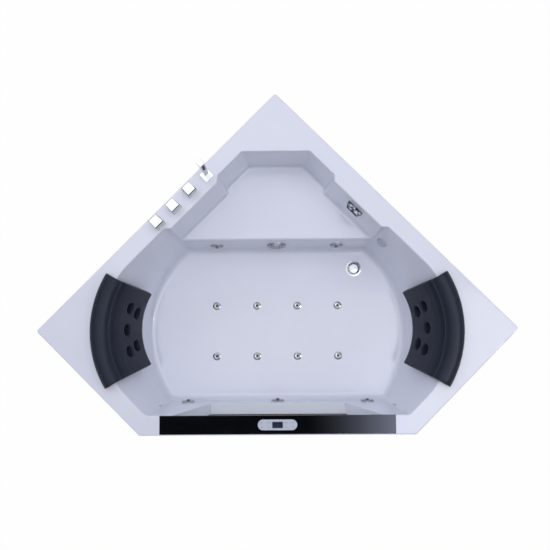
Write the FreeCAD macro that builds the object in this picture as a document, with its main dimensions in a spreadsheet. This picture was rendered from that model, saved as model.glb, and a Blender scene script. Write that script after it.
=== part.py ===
# A two-person corner bath with water and air jets, built as it comes apart on a bench.
# The plan is a square with its front corner cut off. X runs from the left corner to the right
# corner, Y points to the back corner where the two walls of the room meet, and Z is up.
# Pieces are laid out from the middle of the line between the left and right corners, and their
# placements then move that point so that the origin is on the ground under the middle of the bath.

import FreeCAD, Part
import Sketcher
import math
import os

Vector = FreeCAD.Vector
doc = FreeCAD.newDocument("jetted_bath")
sheet = doc.addObject("Spreadsheet::Sheet", "Sizes")

SIZES = {
    # Plan of the shell, and the space for pipes between the frame and the well
    "back_side": 1400, "short_side": 604, "pipe_space": 125,
    "deck_width": 74, "front_deck": 80, "lip_depth": 45, "wall": 6, "corner_round": 12, "edge_round": 5,
    # Well
    "well_depth": 430, "well_back": 420, "well_end": 723, "well_round": 30,
    "back_draft": 44, "front_draft": 11, "floor_centre_x": 82, "floor_centre_y": -24,
    "end_draft": 63, "floor_split_angle": 26,
    # Seat
    "seat_rise": 210, "seat_back": 742, "seat_jog": 244, "seat_bump": 20, "seat_reach": 350,
    "seat_side_draft": 24, "seat_back_draft": 12, "seat_round": 14, "seat_nose": 10,
    # Window in the front wall, its pane and its rubber seal
    "window_top": 430, "window_sill": 304, "sill_rise": 118, "window_set_back": 24,
    "pane_thickness": 6, "seal_thickness": 4, "seal_depth": 14,
    # Black strip on the front deck
    "strip_length": 960, "strip_thickness": 6, "strip_recess": 5, "strip_edge": 4, "strip_round": 1,
    # Control panel on the strip
    "panel_length": 160, "panel_width": 43, "panel_height": 4, "panel_neck": 112, "panel_neck_width": 26,
    "panel_neck_depth": 6, "display_length": 45, "display_width": 27, "display_depth": 2,
    "key_length": 16, "key_width": 9, "key_depth": 3, "key_stroke": 1, "key_proud": 0.8,
    "key_group": 50, "key_pitch": 28, "key_row": 18, "key_gap": 0.3,
    # Head pillows
    "pillow_set": 422, "roll_outer": 467, "roll_inner": 385, "roll_height": 40, "pillow_angle": 62,
    "pad_face": 382, "pad_depth": 280, "pad_gap": 6, "crease": 8, "pillow_round": 7,
    "pillow_hole": 25, "hole_row": 126, "hole_row_low": 196, "hole_turn": 15.5, "hole_turn_low": 12.6,
    # Taps and hand shower on the left deck
    "tap_inset": 42, "tap_pitch": 94, "shower_from_corner": 450,
    "escutcheon_side": 46, "escutcheon_height": 6, "knob_side": 43.5, "knob_height": 52, "knob_lift": 1.5,
    "knob_socket": 34, "stem_radius": 8, "valve_thread": 14, "valve_radius": 20, "valve_top_drop": 28,
    "valve_base_drop": 90, "inlet_radius": 10.5, "inlet_length": 40, "manifold_radius": 10,
    "backnut_radius": 23, "backnut_height": 10,
    "holder_side": 42, "holder_height": 5, "sleeve_radius": 15, "sleeve_length": 80, "shower_stem": 9,
    "shower_stem_length": 62, "shower_foot": 20, "shower_head": 24, "shower_length": 209, "shower_round": 2,
    "spray_width": 12, "spray_length": 70, "spray_depth": 1.2,
    # Filler spout in the right side of the seat recess
    "spout_x": 341, "spout_depth": 62, "spout_width": 78, "spout_plate": 30, "spout_plate_height": 5,
    "spout_reach": 24, "spout_nose": 60, "spout_nose_height": 14, "spout_slot": 50, "spout_slot_height": 6,
    "spout_tail": 13, "spout_tail_length": 62, "filler_radius": 9,
    # Water jets
    "jet_back_x": 278, "jet_back_rise": 95, "jet_front_x": 412, "jet_front_rise": 85,
    "jet_mid_rise": 68,
    "jet_flange": 31, "jet_flange_height": 2.4, "jet_barrel": 21.5, "jet_length": 46, "jet_bore": 17,
    "jet_bore_depth": 26, "jet_port": 11, "jet_port_back": 32, "jet_nut": 29, "jet_nut_height": 9,
    "ring_radius": 30, "ring_height": 5, "ring_skirt": 13, "ball_radius": 11.5, "ball_band": 7,
    "ball_centre": 0, "nozzle_radius": 6.6, "nozzle_reach": 13, "nozzle_bore": 4.5,
    # Suction fitting
    "suction_rise": 95, "suction_radius": 45, "suction_height": 11, "suction_hole": 3.2,
    "suction_hole_row": 13.5, "suction_shoulder": 36, "suction_barrel": 30, "suction_length": 48,
    "suction_nut": 40, "suction_pipe_radius": 16,
    # Air jets in the floor
    "air_jet_x": 96, "air_jet_y": -14.5, "air_jet_row": 239, "air_cap": 19, "air_cap_height": 3.5,
    "air_cap_hole": 5, "air_barrel": 12, "air_length": 42, "air_pipe_radius": 12, "air_drop": 62,
    "air_stub": 8, "air_trunk_x": -240,
    # Waste
    "drain_inset": 105.3, "drain_angle": 46.85, "drain_flange": 37, "drain_flange_height": 2.5,
    "drain_bore": 22,
    "drain_barrel": 26, "drain_length": 52, "plug_radius": 30, "plug_height": 8, "plug_stem": 4,
    "plug_length": 36,
    "waste_radius": 20, "waste_drop": 90, "waste_reach": 110,
    # Light in the right end of the well
    "light_x": 468, "light_depth": 190, "light_radius": 20, "light_dome": 4,
    "light_barrel": 16, "light_length": 34,
    # Steel frame and feet
    "frame_tube": 25, "frame_wall": 2, "frame_inset": 45, "foot_height": 70, "bearer_x": 190,
    "front_cross": -250, "back_cross": 320, "pump_rail_front": 520, "pump_rail_back": 640,
    "foot_pad": 26, "foot_pad_height": 12, "foot_stud": 6, "foot_nut": 11, "foot_nut_height": 9,
    # Skirt panels
    "skirt_thickness": 4, "skirt_toe": 15, "skirt_top_gap": 12, "skirt_tab": 40, "skirt_tab_grip": 15,
    "skirt_end": 30, "skirt_window_frame": 12,
    # Pump, blower, control box and pipes under the shell
    "pump_y": 580, "pump_lift": 80, "motor_radius": 66, "motor_length": 190, "motor_start": -38,
    "motor_rib": 5, "volute_radius": 62, "volute_length": 72, "volute_wall": 8, "shaft_radius": 8,
    "impeller_radius": 46, "impeller_thickness": 26, "vane_thickness": 3.2,
    "discharge_y": 612, "discharge_rise": 77,
    "pump_foot_width": 150, "pump_foot_length": 120, "pump_foot_height": 6,
    "pipe_radius": 13, "front_pipe_radius": 15, "header_rise": 150, "front_run_lift": 30,
    "side_run_x": -330, "pipe_bend": 30, "suction_run_x": -160,
    "filler_drop": 170, "filler_corner": 80, "filler_bend": 30,
    "blower_y": 520, "blower_radius": 58, "blower_waist": 49, "blower_flange": 4, "blower_height": 120,
    "box_length": 85, "box_width": 80, "box_height": 180, "box_lift": 205,
    # Clearances
    "fit": 0.3, "running": 0.05, "soft_gap": 0.3, "contact": 0.4,
}


class Size:
    """A length that knows its number and the expression that the document binds it to."""

    def __init__(self, value, text):
        self.value = float(value)
        self.text = text

    def __add__(self, other):
        return join(self, other, "+", self.value + number(other))

    def __sub__(self, other):
        return join(self, other, "-", self.value - number(other))

    def __mul__(self, other):
        return join(self, other, "*", self.value * number(other))

    def __truediv__(self, other):
        return join(self, other, "/", self.value / number(other))

    def __radd__(self, other):
        return as_size(other) + self

    def __rsub__(self, other):
        return as_size(other) - self

    def __rmul__(self, other):
        return as_size(other) * self

    def __neg__(self):
        return Size(-self.value, "(-" + self.text + ")")


def number(thing):
    return thing.value if isinstance(thing, Size) else float(thing)


def as_size(thing):
    return thing if isinstance(thing, Size) else Size(thing, "(" + repr(float(thing)) + ")")


def join(first, second, sign, value):
    return Size(value, "(" + first.text + " " + sign + " " + as_size(second).text + ")")


def root(size):
    return Size(math.sqrt(size.value), "sqrt(" + size.text + ")")


class Named:
    """Every driving dimension of the sheet as a Size, by its own name."""


dims = Named()
for row, (alias, value) in enumerate(SIZES.items(), 1):
    sheet.set("A%d" % row, alias)
    sheet.set("B%d" % row, repr(value))
    sheet.setAlias("B%d" % row, alias)
    setattr(dims, alias, Size(value, "Sizes." + alias))
doc.recompute()

ROOT2 = math.sqrt(2)

# Where the five corners and the inner edges of the deck lie
side_reach = dims.back_side / ROOT2
front_reach = dims.short_side / ROOT2
corner_loss = dims.corner_round * (ROOT2 - 1)
middle = (side_reach - corner_loss - front_reach) / 2
deck_line = side_reach - dims.deck_width * ROOT2
bump_line = deck_line - dims.seat_bump * ROOT2
front_edge = dims.front_deck - front_reach
floor_back = dims.well_back - dims.back_draft
floor_front = -front_edge - dims.front_draft
floor_radius = (deck_line - dims.floor_centre_x - dims.floor_centre_y) / ROOT2 - dims.end_draft
pillow_centre = dims.well_end - dims.pillow_set

# Heights, from the ground up: feet, frame, space for pipes, well
rail_top = dims.foot_height + dims.frame_tube
floor_level = rail_top + dims.pipe_space
rim_height = floor_level + dims.well_depth
seat_level = floor_level + dims.seat_rise
seat_depth = dims.well_depth - dims.seat_rise
window_depth = dims.well_depth - dims.sill_rise


def bind(thing, name, size):
    thing.setExpression(name, as_size(size).text)


def place(thing, x=0, y=0, z=0, rotation=None):
    """Put a sub-part where the layout says, measured from the middle of the left to right line."""
    spot = (as_size(x), as_size(y) - middle, as_size(z))
    point = Vector(*[size.value for size in spot])
    thing.Placement = FreeCAD.Placement(point, rotation or FreeCAD.Rotation())
    for axis, size in zip("xyz", spot):
        bind(thing, "Placement.Base." + axis, size)
    return thing


def new_body(name):
    return doc.addObject("PartDesign::Body", name)


def origin_plane(body, role):
    return [feature for feature in body.Origin.OriginFeatures if feature.Role == role][0]


def outline(body, name, corners, role="XY_Plane", offset=0, arcs=None):
    """A closed sketch through corners, counter-clockwise; arcs gives the centre of each round side."""
    sketch = body.newObject("Sketcher::SketchObject", name)
    sketch.AttachmentSupport = (origin_plane(body, role), [""])
    sketch.MapMode = "FlatFace"
    bind(sketch, "AttachmentOffset.Base.z", offset)
    corners = [(as_size(across), as_size(up)) for across, up in corners]
    arcs = arcs or {}
    points = [Vector(across.value, up.value, 0) for across, up in corners]
    count = len(points)
    backwards = set()
    for side in range(count):
        start, end = points[side], points[(side + 1) % count]
        if side in arcs:
            centre = Vector(number(arcs[side][0]), number(arcs[side][1]), 0)
            ring = Part.Circle(centre, Vector(0, 0, 1), (start - centre).Length)
            if ((start - centre).cross(end - centre)).z < 0:
                backwards.add(side)
                start, end = end, start
            sketch.addGeometry(Part.ArcOfCircle(ring, ring.parameter(start), ring.parameter(end)))
        else:
            sketch.addGeometry(Part.LineSegment(start, end))
    first = [2 if side in backwards else 1 for side in range(count)]
    for side in range(count):
        after = (side + 1) % count
        sketch.addConstraint(Sketcher.Constraint("Coincident", side, 3 - first[side], after, first[after]))
    for side, (across, up) in enumerate(corners):
        for kind, size in (("DistanceX", across), ("DistanceY", up)):
            index = sketch.addConstraint(Sketcher.Constraint(kind, -1, 1, side, first[side], size.value))
            bind(sketch, "Constraints[%d]" % index, size)
    for side, (across, up) in arcs.items():
        chord = points[(side + 1) % count] - points[side]
        kind, size = ("DistanceX", across) if abs(chord.y) > abs(chord.x) else ("DistanceY", up)
        index = sketch.addConstraint(Sketcher.Constraint(kind, -1, 1, side, 3, number(size)))
        bind(sketch, "Constraints[%d]" % index, size)
    return sketch


def pad(body, name, sketch, length, reverse=False):
    feature = body.newObject("PartDesign::Pad", name)
    feature.Profile = sketch
    bind(feature, "Length", length)
    feature.Reversed = reverse
    return feature


def pocket(body, name, sketch, length, reverse=False):
    doc.recompute()
    before = body.Shape.Volume
    feature = body.newObject("PartDesign::Pocket", name)
    feature.Profile = sketch
    bind(feature, "Length", length)
    feature.Reversed = reverse
    doc.recompute()
    if body.Shape.Volume >= before:
        raise RuntimeError(name + " cuts nothing")
    return feature


def loft(body, name, kind, first, second):
    feature = body.newObject("PartDesign::" + kind, name)
    feature.Profile = first
    feature.Sections = [second]
    feature.Ruled = True
    return feature


def round_edges(body, name, radius, chosen):
    """Fillet the edges of the body's tip that the chosen test picks out."""
    doc.recompute()
    names = ["Edge%d" % (index + 1) for index, edge in enumerate(body.Shape.Edges) if chosen(edge)]
    if not names:
        raise RuntimeError(name + " finds no edges")
    base = body.Tip
    feature = body.newObject("PartDesign::Fillet", name)
    feature.Base = (base, names)
    bind(feature, "Radius", radius)
    return feature


def ends(edge):
    return [vertex.Point for vertex in edge.Vertexes]


def upright(edge):
    return abs(ends(edge)[0].z - ends(edge)[-1].z) > 1


def level(edge, height):
    """True where the whole edge lies at this height."""
    middle_point = edge.valueAt((edge.FirstParameter + edge.LastParameter) / 2)
    return all(abs(point.z - number(height)) < 0.01 for point in ends(edge) + [middle_point])


# The moulded shell: deck, lip, well and seat in one acrylic skin

def plan_corners(inset):
    """The five-sided plan, moved in from its outer edge."""
    reach = side_reach - as_size(inset) * ROOT2
    front = front_reach - as_size(inset)
    wide = reach - front
    return [(0, reach), (-reach, 0), (-wide, -front), (wide, -front), (reach, 0)]


def well_rim(grow):
    """The well's opening: straight back and front, slanted sides, and an arc at each end."""
    line = deck_line + as_size(grow) * ROOT2
    end = dims.well_end + grow
    # The end arc touches both slanted sides, so its centre follows from the end and the line
    centre = (end * ROOT2 - line) / (ROOT2 - 1)
    touch = (line - centre) / 2
    back = dims.well_back + grow
    front = front_edge - grow
    wide = centre + touch
    corners = [(line - back, back), (back - line, back), (-wide, touch), (-wide, -touch),
               (-line - front, front), (line + front, front), (wide, -touch), (wide, touch)]
    return corners, {2: (-centre, 0), 6: (centre, 0)}


def well_floor(grow):
    """The floor's outline: the same eight sides, with the slanted ones on the end arcs too."""
    radius = floor_radius + grow
    turn = math.radians(SIZES["floor_split_angle"])
    centre_x, centre_y = dims.floor_centre_x, dims.floor_centre_y
    back = floor_back + grow
    front = -(floor_front + grow)
    back_x = centre_x + root(radius * radius - (back - centre_y) * (back - centre_y))
    front_x = centre_x + root(radius * radius - (front - centre_y) * (front - centre_y))
    split_x = centre_x + radius * math.cos(turn)
    rise = radius * math.sin(turn)
    corners = [(back_x, back), (-back_x, back), (-split_x, centre_y + rise), (-split_x, centre_y - rise),
               (-front_x, front), (front_x, front), (split_x, centre_y - rise), (split_x, centre_y + rise)]
    left, right = (-centre_x, centre_y), (centre_x, centre_y)
    return corners, {1: left, 2: left, 3: left, 5: right, 6: right, 7: right}


def seat_outline(grow, side_draft, back_draft):
    """The seat's recess: a back line, two slanted sides, and a small step where the deck widens."""
    inset = as_size(side_draft) - grow
    line = deck_line - inset * ROOT2
    bump = bump_line - inset * ROOT2
    back = dims.seat_back + grow - back_draft
    jog = dims.seat_jog - inset
    reach = dims.seat_reach
    right = [(bump - reach, reach), (jog, bump - jog), (jog, line - jog), (line - back, back)]
    return right + [(-across, up) for across, up in reversed(right)]


def skin(name, kind, grow):
    """Add or cut the well and the seat, grown outwards by the thickness of the wall."""
    corners, arcs = well_rim(grow)
    rim = outline(shell, "well_rim_" + name, corners, offset=rim_height, arcs=arcs)
    corners, arcs = well_floor(grow)
    floor = outline(shell, "well_floor_" + name, corners, offset=floor_level - grow, arcs=arcs)
    loft(shell, "well_" + name, kind, rim, floor)
    rim = outline(shell, "seat_rim_" + name, seat_outline(grow, 0, 0), offset=rim_height)
    drafted = seat_outline(grow, dims.seat_side_draft, dims.seat_back_draft)
    floor = outline(shell, "seat_floor_" + name, drafted, offset=seat_level - grow)
    loft(shell, "seat_" + name, kind, rim, floor)


def rectangle(left, right, low, high):
    return [(left, low), (right, low), (right, high), (left, high)]


sill_level = rim_height - window_depth
window_slope = (dims.window_top - dims.window_sill) / window_depth
window_stretch = root(window_slope * window_slope + 1)
tunnel_end = front_reach - dims.window_set_back


def window_outline(inset, top):
    """The window's four sides, moved in by inset and closed at the height top."""
    inset = as_size(inset)
    low = sill_level + inset
    half_low = dims.window_sill + window_slope * inset - inset * window_stretch
    half_top = dims.window_sill + window_slope * (top - sill_level) - inset * window_stretch
    return [(-half_low, low), (half_low, low), (half_top, top), (-half_top, top)]


shell = new_body("shell_moulding")
lip_level = rim_height - dims.lip_depth
strip_bed = rim_height - dims.strip_recess
pad(shell, "deck", outline(shell, "deck_outline", plan_corners(0), offset=lip_level), dims.lip_depth)
round_edges(shell, "deck_corners", dims.corner_round, upright)
under_deck = outline(shell, "under_deck_outline", plan_corners(dims.wall), offset=lip_level)
pocket(shell, "under_deck", under_deck, dims.lip_depth - dims.wall, reverse=True)
skin("outer", "AdditiveLoft", dims.wall)
ledge_half = dims.strip_length / 2 + dims.fit + dims.wall
ledge = rectangle(-ledge_half, ledge_half, dims.wall / 2 - front_reach, front_edge - dims.wall / 2)
pad(shell, "strip_ledge", outline(shell, "strip_ledge_outline", ledge, offset=strip_bed - dims.wall),
    dims.strip_recess + dims.wall)
tunnel_start = floor_front + dims.wall
tunnel = window_outline(-dims.wall, strip_bed)
tunnel = outline(shell, "tunnel_outline", tunnel, role="XZ_Plane", offset=tunnel_start)
pad(shell, "window_tunnel", tunnel, tunnel_end - tunnel_start)
skin("inner", "SubtractiveLoft", as_size(0))


def well_edge(edge):
    """The floor's edges, and the four corners that rise from it."""
    heights = [point.z for point in ends(edge)]
    corner = min(abs(point.y) for point in ends(edge)) > floor_front.value - 1
    rises = abs(min(heights) - floor_level.value) < 0.01 and max(heights) > seat_level.value
    return level(edge, floor_level) or (rises and corner)


def nose_edge(edge):
    """The seat's front edge, above the well."""
    return level(edge, seat_level) and all(point.y < dims.well_back.value for point in ends(edge))


def seat_edge(edge):
    """The edges round the seat, and its two back corners."""
    back = all(point.y > dims.seat_back.value - dims.seat_back_draft.value - 1 for point in ends(edge))
    rises = abs(ends(edge)[0].z - ends(edge)[-1].z) > seat_depth.value - 1
    inside = ends(edge)[0].y < dims.seat_back.value + 1
    return (level(edge, seat_level) and not nose_edge(edge)) or (back and rises and inside)


round_edges(shell, "well_round", dims.well_round, well_edge)
round_edges(shell, "seat_round", dims.seat_round, seat_edge)
round_edges(shell, "seat_nose", dims.seat_nose, nose_edge)
round_edges(shell, "rim_round", dims.edge_round, lambda edge: level(edge, rim_height))
opening = outline(shell, "window_opening_outline", window_outline(0, rim_height + 1), role="XZ_Plane",
                  offset=tunnel_start - dims.front_deck)
pocket(shell, "window_opening", opening, tunnel_end - tunnel_start + dims.front_deck, reverse=True)
bed_half = dims.strip_length / 2 + dims.fit
bed = rectangle(-bed_half, bed_half, dims.strip_edge - front_reach, front_edge + dims.front_deck)
bed = outline(shell, "strip_bed_outline", bed, offset=rim_height)
pocket(shell, "strip_bed", bed, dims.strip_recess)
doc.recompute()
place(shell)


# Small helpers for fittings

def turned(name, profile, arcs=None):
    """A body turned about its own Z axis from a profile of radius and height."""
    body = new_body(name)
    sketch = outline(body, name + "_profile", profile, role="XZ_Plane", arcs=arcs)
    feature = body.newObject("PartDesign::Revolution", name + "_turn")
    feature.Profile = sketch
    feature.ReferenceAxis = (sketch, ["V_Axis"])
    feature.Angle = 360
    return body


def circle(body, name, radius, role="XY_Plane", offset=0, across=0, up=0):
    sketch = body.newObject("Sketcher::SketchObject", name)
    sketch.AttachmentSupport = (origin_plane(body, role), [""])
    sketch.MapMode = "FlatFace"
    bind(sketch, "AttachmentOffset.Base.z", offset)
    centre = Vector(number(across), number(up), 0)
    sketch.addGeometry(Part.Circle(centre, Vector(0, 0, 1), number(radius)))
    for kind, size in (("DistanceX", across), ("DistanceY", up)):
        index = sketch.addConstraint(Sketcher.Constraint(kind, -1, 1, 0, 3, number(size)))
        bind(sketch, "Constraints[%d]" % index, size)
    index = sketch.addConstraint(Sketcher.Constraint("Radius", 0, number(radius)))
    bind(sketch, "Constraints[%d]" % index, radius)
    return sketch


def polar(body, name, feature, count):
    """Repeat a feature round the body's own Z axis."""
    pattern = body.newObject("PartDesign::PolarPattern", name)
    pattern.Originals = [feature]
    pattern.Axis = (origin_plane(body, "Z_Axis"), [""])
    pattern.Angle = 360
    pattern.Occurrences = count
    body.Tip = pattern
    return pattern


def rod(name, radius, length):
    thing = doc.addObject("Part::Cylinder", name)
    bind(thing, "Radius", radius)
    bind(thing, "Height", length)
    return thing


def block(name, across, along, height):
    thing = doc.addObject("Part::Box", name)
    for prop, size in (("Length", across), ("Width", along), ("Height", height)):
        bind(thing, prop, size)
    return thing


def fused(name, pieces):
    thing = doc.addObject("Part::MultiFuse", name)
    thing.Shapes = pieces
    return thing


def cut(name, base, tool):
    thing = doc.addObject("Part::Cut", name)
    thing.Base = base
    thing.Tool = tool
    return thing


def group(name, pieces):
    thing = doc.addObject("Part::Compound", name)
    thing.Links = pieces
    return thing


def facing(normal):
    """The turn that points a fitting's Z axis along normal and keeps its X axis level."""
    across = Vector(0, 0, 1).cross(normal)
    if across.Length < 1e-6:
        across = Vector(1, 0, 0)
    return FreeCAD.Rotation(across, normal.cross(across), normal, "ZXY")


def spun(degrees):
    return FreeCAD.Rotation(Vector(0, 0, 1), degrees)


nodes = []


def node(thing, name):
    thing.Label = name
    nodes.append(thing)
    return thing


holes = []


def hole(name, radius, spot, rotation=None):
    """A round hole through the shell's wall, square to it."""
    reach = dims.wall * 4
    tool = rod("hole_" + name, radius, reach * 2)
    turn = rotation or FreeCAD.Rotation()
    back = turn.multVec(Vector(0, 0, -1))
    start = [as_size(size) + reach * amount for size, amount in zip(spot, back)]
    holes.append(place(tool, *start, rotation))


# Where fittings sit on the shell

back_slope = (dims.well_back - floor_back) / dims.well_depth
front_slope = (front_edge + floor_front) / dims.well_depth
draft_slope = dims.seat_side_draft / seat_depth


def back_wall(across, depth):
    spot = (as_size(across), dims.well_back - back_slope * depth, rim_height - depth)
    return spot, facing(Vector(0, -1, back_slope.value).normalize())


def front_wall(across, depth):
    spot = (as_size(across), front_edge - front_slope * depth, rim_height - depth)
    return spot, facing(Vector(0, 1, -front_slope.value).normalize())


def bump_wall(across, depth):
    """The slanted right side of the seat recess, where the deck is wider."""
    spot = (across - draft_slope * depth / ROOT2, bump_line - across - draft_slope * depth / ROOT2,
            rim_height - depth)
    return spot, facing(Vector(-1, -1, draft_slope.value * ROOT2).normalize())


def end_wall(across, depth):
    """The slanted side of the well beside the seat: a ruled face from the rim's line to the floor's arc."""
    share = number(depth) / dims.well_depth.value
    rim, floor = well_rim(0), well_floor(0)
    high = [Vector(number(x), number(y), rim_height.value) for x, y in (rim[0][0], rim[0][7])]
    centre = Vector(dims.floor_centre_x.value, dims.floor_centre_y.value, floor_level.value)
    low = [Vector(number(x), number(y), floor_level.value) for x, y in (floor[0][0], floor[0][7])]
    turns = [math.atan2(point.y - centre.y, point.x - centre.x) for point in low]

    def on_face(along, part):
        turn = turns[0] + (turns[1] - turns[0]) * along
        foot = centre + Vector(math.cos(turn), math.sin(turn), 0) * floor_radius.value
        head = high[0] + (high[1] - high[0]) * along
        return head + (foot - head) * part

    near, far = 0.0, 1.0
    for _ in range(40):
        along = (near + far) / 2
        if on_face(along, share).x < number(across):
            near = along
        else:
            far = along
    spot = on_face(along, share)
    step = 0.01
    sideways = on_face(along + step, share) - on_face(along - step, share)
    downwards = on_face(along, share + step) - on_face(along, share - step)
    normal = sideways.cross(downwards).normalize()
    if normal.x > 0:
        normal = normal * -1
    return (spot.x, spot.y, spot.z), facing(normal)


def deck_spot(from_corner):
    """A point on the left deck, this far from the back corner along the wall."""
    across = (dims.tap_inset - from_corner) / ROOT2
    return across, side_reach - (from_corner + dims.tap_inset) / ROOT2, rim_height


# The black strip along the front deck, its control panel, and the window under it

strip_top = strip_bed + dims.strip_thickness
panel_y = (front_edge + dims.strip_edge - front_reach) / 2
strip = new_body("strip")
half = dims.strip_length / 2
edges = rectangle(-half, half, dims.strip_edge + dims.fit - front_reach, front_edge)
pad(strip, "strip_plate", outline(strip, "strip_outline", edges, offset=strip_bed), dims.strip_thickness)
neck_half, neck_deep = dims.panel_neck / 2, dims.panel_neck_width / 2
slot = rectangle(-neck_half - dims.fit, neck_half + dims.fit, panel_y - neck_deep - dims.fit,
                 panel_y + neck_deep + dims.fit)
slot = outline(strip, "strip_slot_outline", slot, offset=strip_top)
pocket(strip, "strip_slot", slot, dims.strip_thickness)


def strip_rim(edge):
    """The top edges of the strip, but not those of its slot."""
    return level(edge, strip_top) and abs(ends(edge)[0].y - panel_y.value) > neck_deep.value + 1


round_edges(strip, "strip_edges", dims.strip_round, strip_rim)
node(place(strip), "deck_fascia")

panel = new_body("panel")
half, deep = dims.panel_length / 2, dims.panel_width / 2
straight = half - deep
pill = [(-straight, -deep), (straight, -deep), (straight, deep), (-straight, deep)]
face = outline(panel, "panel_outline", pill, arcs={1: (straight, 0), 3: (-straight, 0)})
pad(panel, "panel_plate", face, dims.panel_height)
neck = outline(panel, "panel_neck_outline", rectangle(-neck_half, neck_half, -neck_deep, neck_deep))
pad(panel, "panel_neck", neck, dims.panel_neck_depth, reverse=True)
round_edges(panel, "panel_edge", dims.panel_height / 3, lambda edge: level(edge, dims.panel_height))
half, deep = dims.display_length / 2 + dims.fit, dims.display_width / 2 + dims.fit
window = outline(panel, "display_outline", rectangle(-half, half, -deep, deep), offset=dims.panel_height)
pocket(panel, "display_recess", window, dims.display_depth)
key_spots = []
for side in (-1, 1):
    for column in (-0.5, 0.5):
        for line in (-0.5, 0.5):
            key_spots.append((dims.key_group * side + dims.key_pitch * column, dims.key_row * line))
for index, (across, along) in enumerate(key_spots, 1):
    half, deep = dims.key_length / 2, dims.key_width / 2
    well = rectangle(across - half, across + half, along - deep, along + deep)
    well = outline(panel, "key_well_outline_%d" % index, well, offset=dims.panel_height)
    pocket(panel, "key_well_%d" % index, well, dims.key_depth)
node(place(panel, 0, panel_y, strip_top), "control_bezel")

lens = new_body("display")
half, deep = dims.display_length / 2, dims.display_width / 2
plate = outline(lens, "display_plate_outline", rectangle(-half, half, -deep, deep))
pad(lens, "display_plate", plate, dims.display_depth + dims.fit)
round_edges(lens, "display_edge", dims.fit, lambda edge: level(edge, dims.display_depth + dims.fit))
node(place(lens, 0, panel_y, strip_top + dims.panel_height - dims.display_depth), "display_lens")

KEY_NAMES = ("light_key", "power_key", "fill_key", "heat_key", "air_key", "pump_key", "up_key", "down_key")
for name, (across, along) in zip(KEY_NAMES, key_spots):
    key = new_body("cap_" + name)
    half, deep = dims.key_length / 2 - dims.key_gap, dims.key_width / 2 - dims.key_gap
    cap = outline(key, name + "_outline", rectangle(-half, half, -deep, deep))
    rise = dims.key_depth + dims.key_proud - dims.key_stroke - dims.key_gap
    pad(key, name + "_cap", cap, rise)
    round_edges(key, name + "_edge", dims.key_gap, lambda edge: level(edge, rise))
    seat = strip_top + dims.panel_height - dims.key_depth + dims.key_stroke + dims.key_gap
    node(place(key, across, panel_y + along, seat), name)

seal = new_body("seal")
pane_top = strip_bed - 1
band = outline(seal, "seal_outline", window_outline(dims.fit, pane_top), role="XZ_Plane",
               offset=tunnel_end - dims.seal_depth)
pad(seal, "seal_band", band, dims.seal_depth)
inner = window_outline(dims.seal_thickness, pane_top + 1)
inner = outline(seal, "seal_inner_outline", inner, role="XZ_Plane", offset=tunnel_end - dims.seal_depth)
pocket(seal, "seal_inside", inner, dims.seal_depth, reverse=True)
node(place(seal), "window_seal")

pane = new_body("pane")
sheet_of_glass = outline(pane, "pane_outline", window_outline(dims.seal_thickness + dims.fit, pane_top),
                         role="XZ_Plane", offset=tunnel_end - (dims.seal_depth + dims.pane_thickness) / 2)
pad(pane, "pane_plate", sheet_of_glass, dims.pane_thickness)
node(place(pane), "front_glass")


# Head pillows: a roll on the deck and a pad with five holes down the end wall, turned as one arc

wall_slope = (dims.well_end - dims.floor_centre_x - floor_radius) / dims.well_depth


def pillow(name, side):
    body = new_body(name + "_foam")
    roll = (dims.roll_outer - dims.roll_inner) / 2
    roll_middle = dims.roll_inner + roll
    roll_centre = dims.roll_height - roll
    under = dims.soft_gap
    rise = under - roll_centre
    outer = roll_middle + root(roll * roll - rise * rise)
    inner = roll_middle - (outer - roll_middle)
    back = dims.well_end - pillow_centre - dims.pad_gap
    profile = [
        (outer, under),
        (inner, under),
        (inner + dims.crease, -dims.crease),
        (dims.pad_face - wall_slope * dims.crease * 3, -dims.crease * 3),
        (dims.pad_face - wall_slope * dims.pad_depth, -dims.pad_depth),
        (back - wall_slope * dims.pad_depth, -dims.pad_depth),
        (back - wall_slope * dims.crease, -dims.crease),
        (back - wall_slope * dims.crease, under),
    ]
    arcs = {0: (roll_middle, roll_centre)}
    sketch = outline(body, name + "_profile", profile, role="XZ_Plane", arcs=arcs)
    feature = body.newObject("PartDesign::Revolution", name + "_turn")
    feature.Profile = sketch
    feature.ReferenceAxis = (sketch, ["V_Axis"])
    bind(feature, "Angle", dims.pillow_angle)
    feature.Midplane = True

    low_face = dims.pad_face - wall_slope * dims.pad_depth

    def front_bottom(edge):
        """The lower front edge of the pad."""
        radii = [math.hypot(point.x, point.y) for point in ends(edge)]
        return level(edge, -dims.pad_depth) and max(radii) < low_face.value + 1

    round_edges(body, name + "_round", dims.pillow_round, front_bottom)
    turn = 0 if side > 0 else 180
    place(body, pillow_centre * side, 0, rim_height, spun(turn))
    drills = []
    rows = [(dims.hole_row, dims.hole_turn, step) for step in (-1, 0, 1)]
    rows += [(dims.hole_row_low, dims.hole_turn_low, step) for step in (-1, 1)]
    lean = math.degrees(math.atan(wall_slope.value))
    for index, (depth, angle, step) in enumerate(rows, 1):
        drill = rod("%s_drill_%d" % (name, index), dims.pillow_hole, dims.roll_inner)
        heading = turn + angle.value * step
        out = Vector(math.cos(math.radians(heading)), math.sin(math.radians(heading)), 0)
        axis = out * math.cos(math.radians(lean)) + Vector(0, 0, -math.sin(math.radians(lean)))
        radius = dims.pad_face - wall_slope * depth
        start = [radius * out.x + pillow_centre * side, radius * out.y, rim_height - depth]
        start = [size - dims.roll_inner / 2 * amount for size, amount in zip(start, axis)]
        drills.append(place(drill, *start, FreeCAD.Rotation(Vector(0, 0, 1), axis)))
    return cut(name + "_cut", body, fused(name + "_drills", drills))


node(pillow("left", -1), "left_pillow")
node(pillow("right", 1), "right_pillow")


# Three deck taps on one brass manifold, and the hand shower in its sleeve

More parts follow.
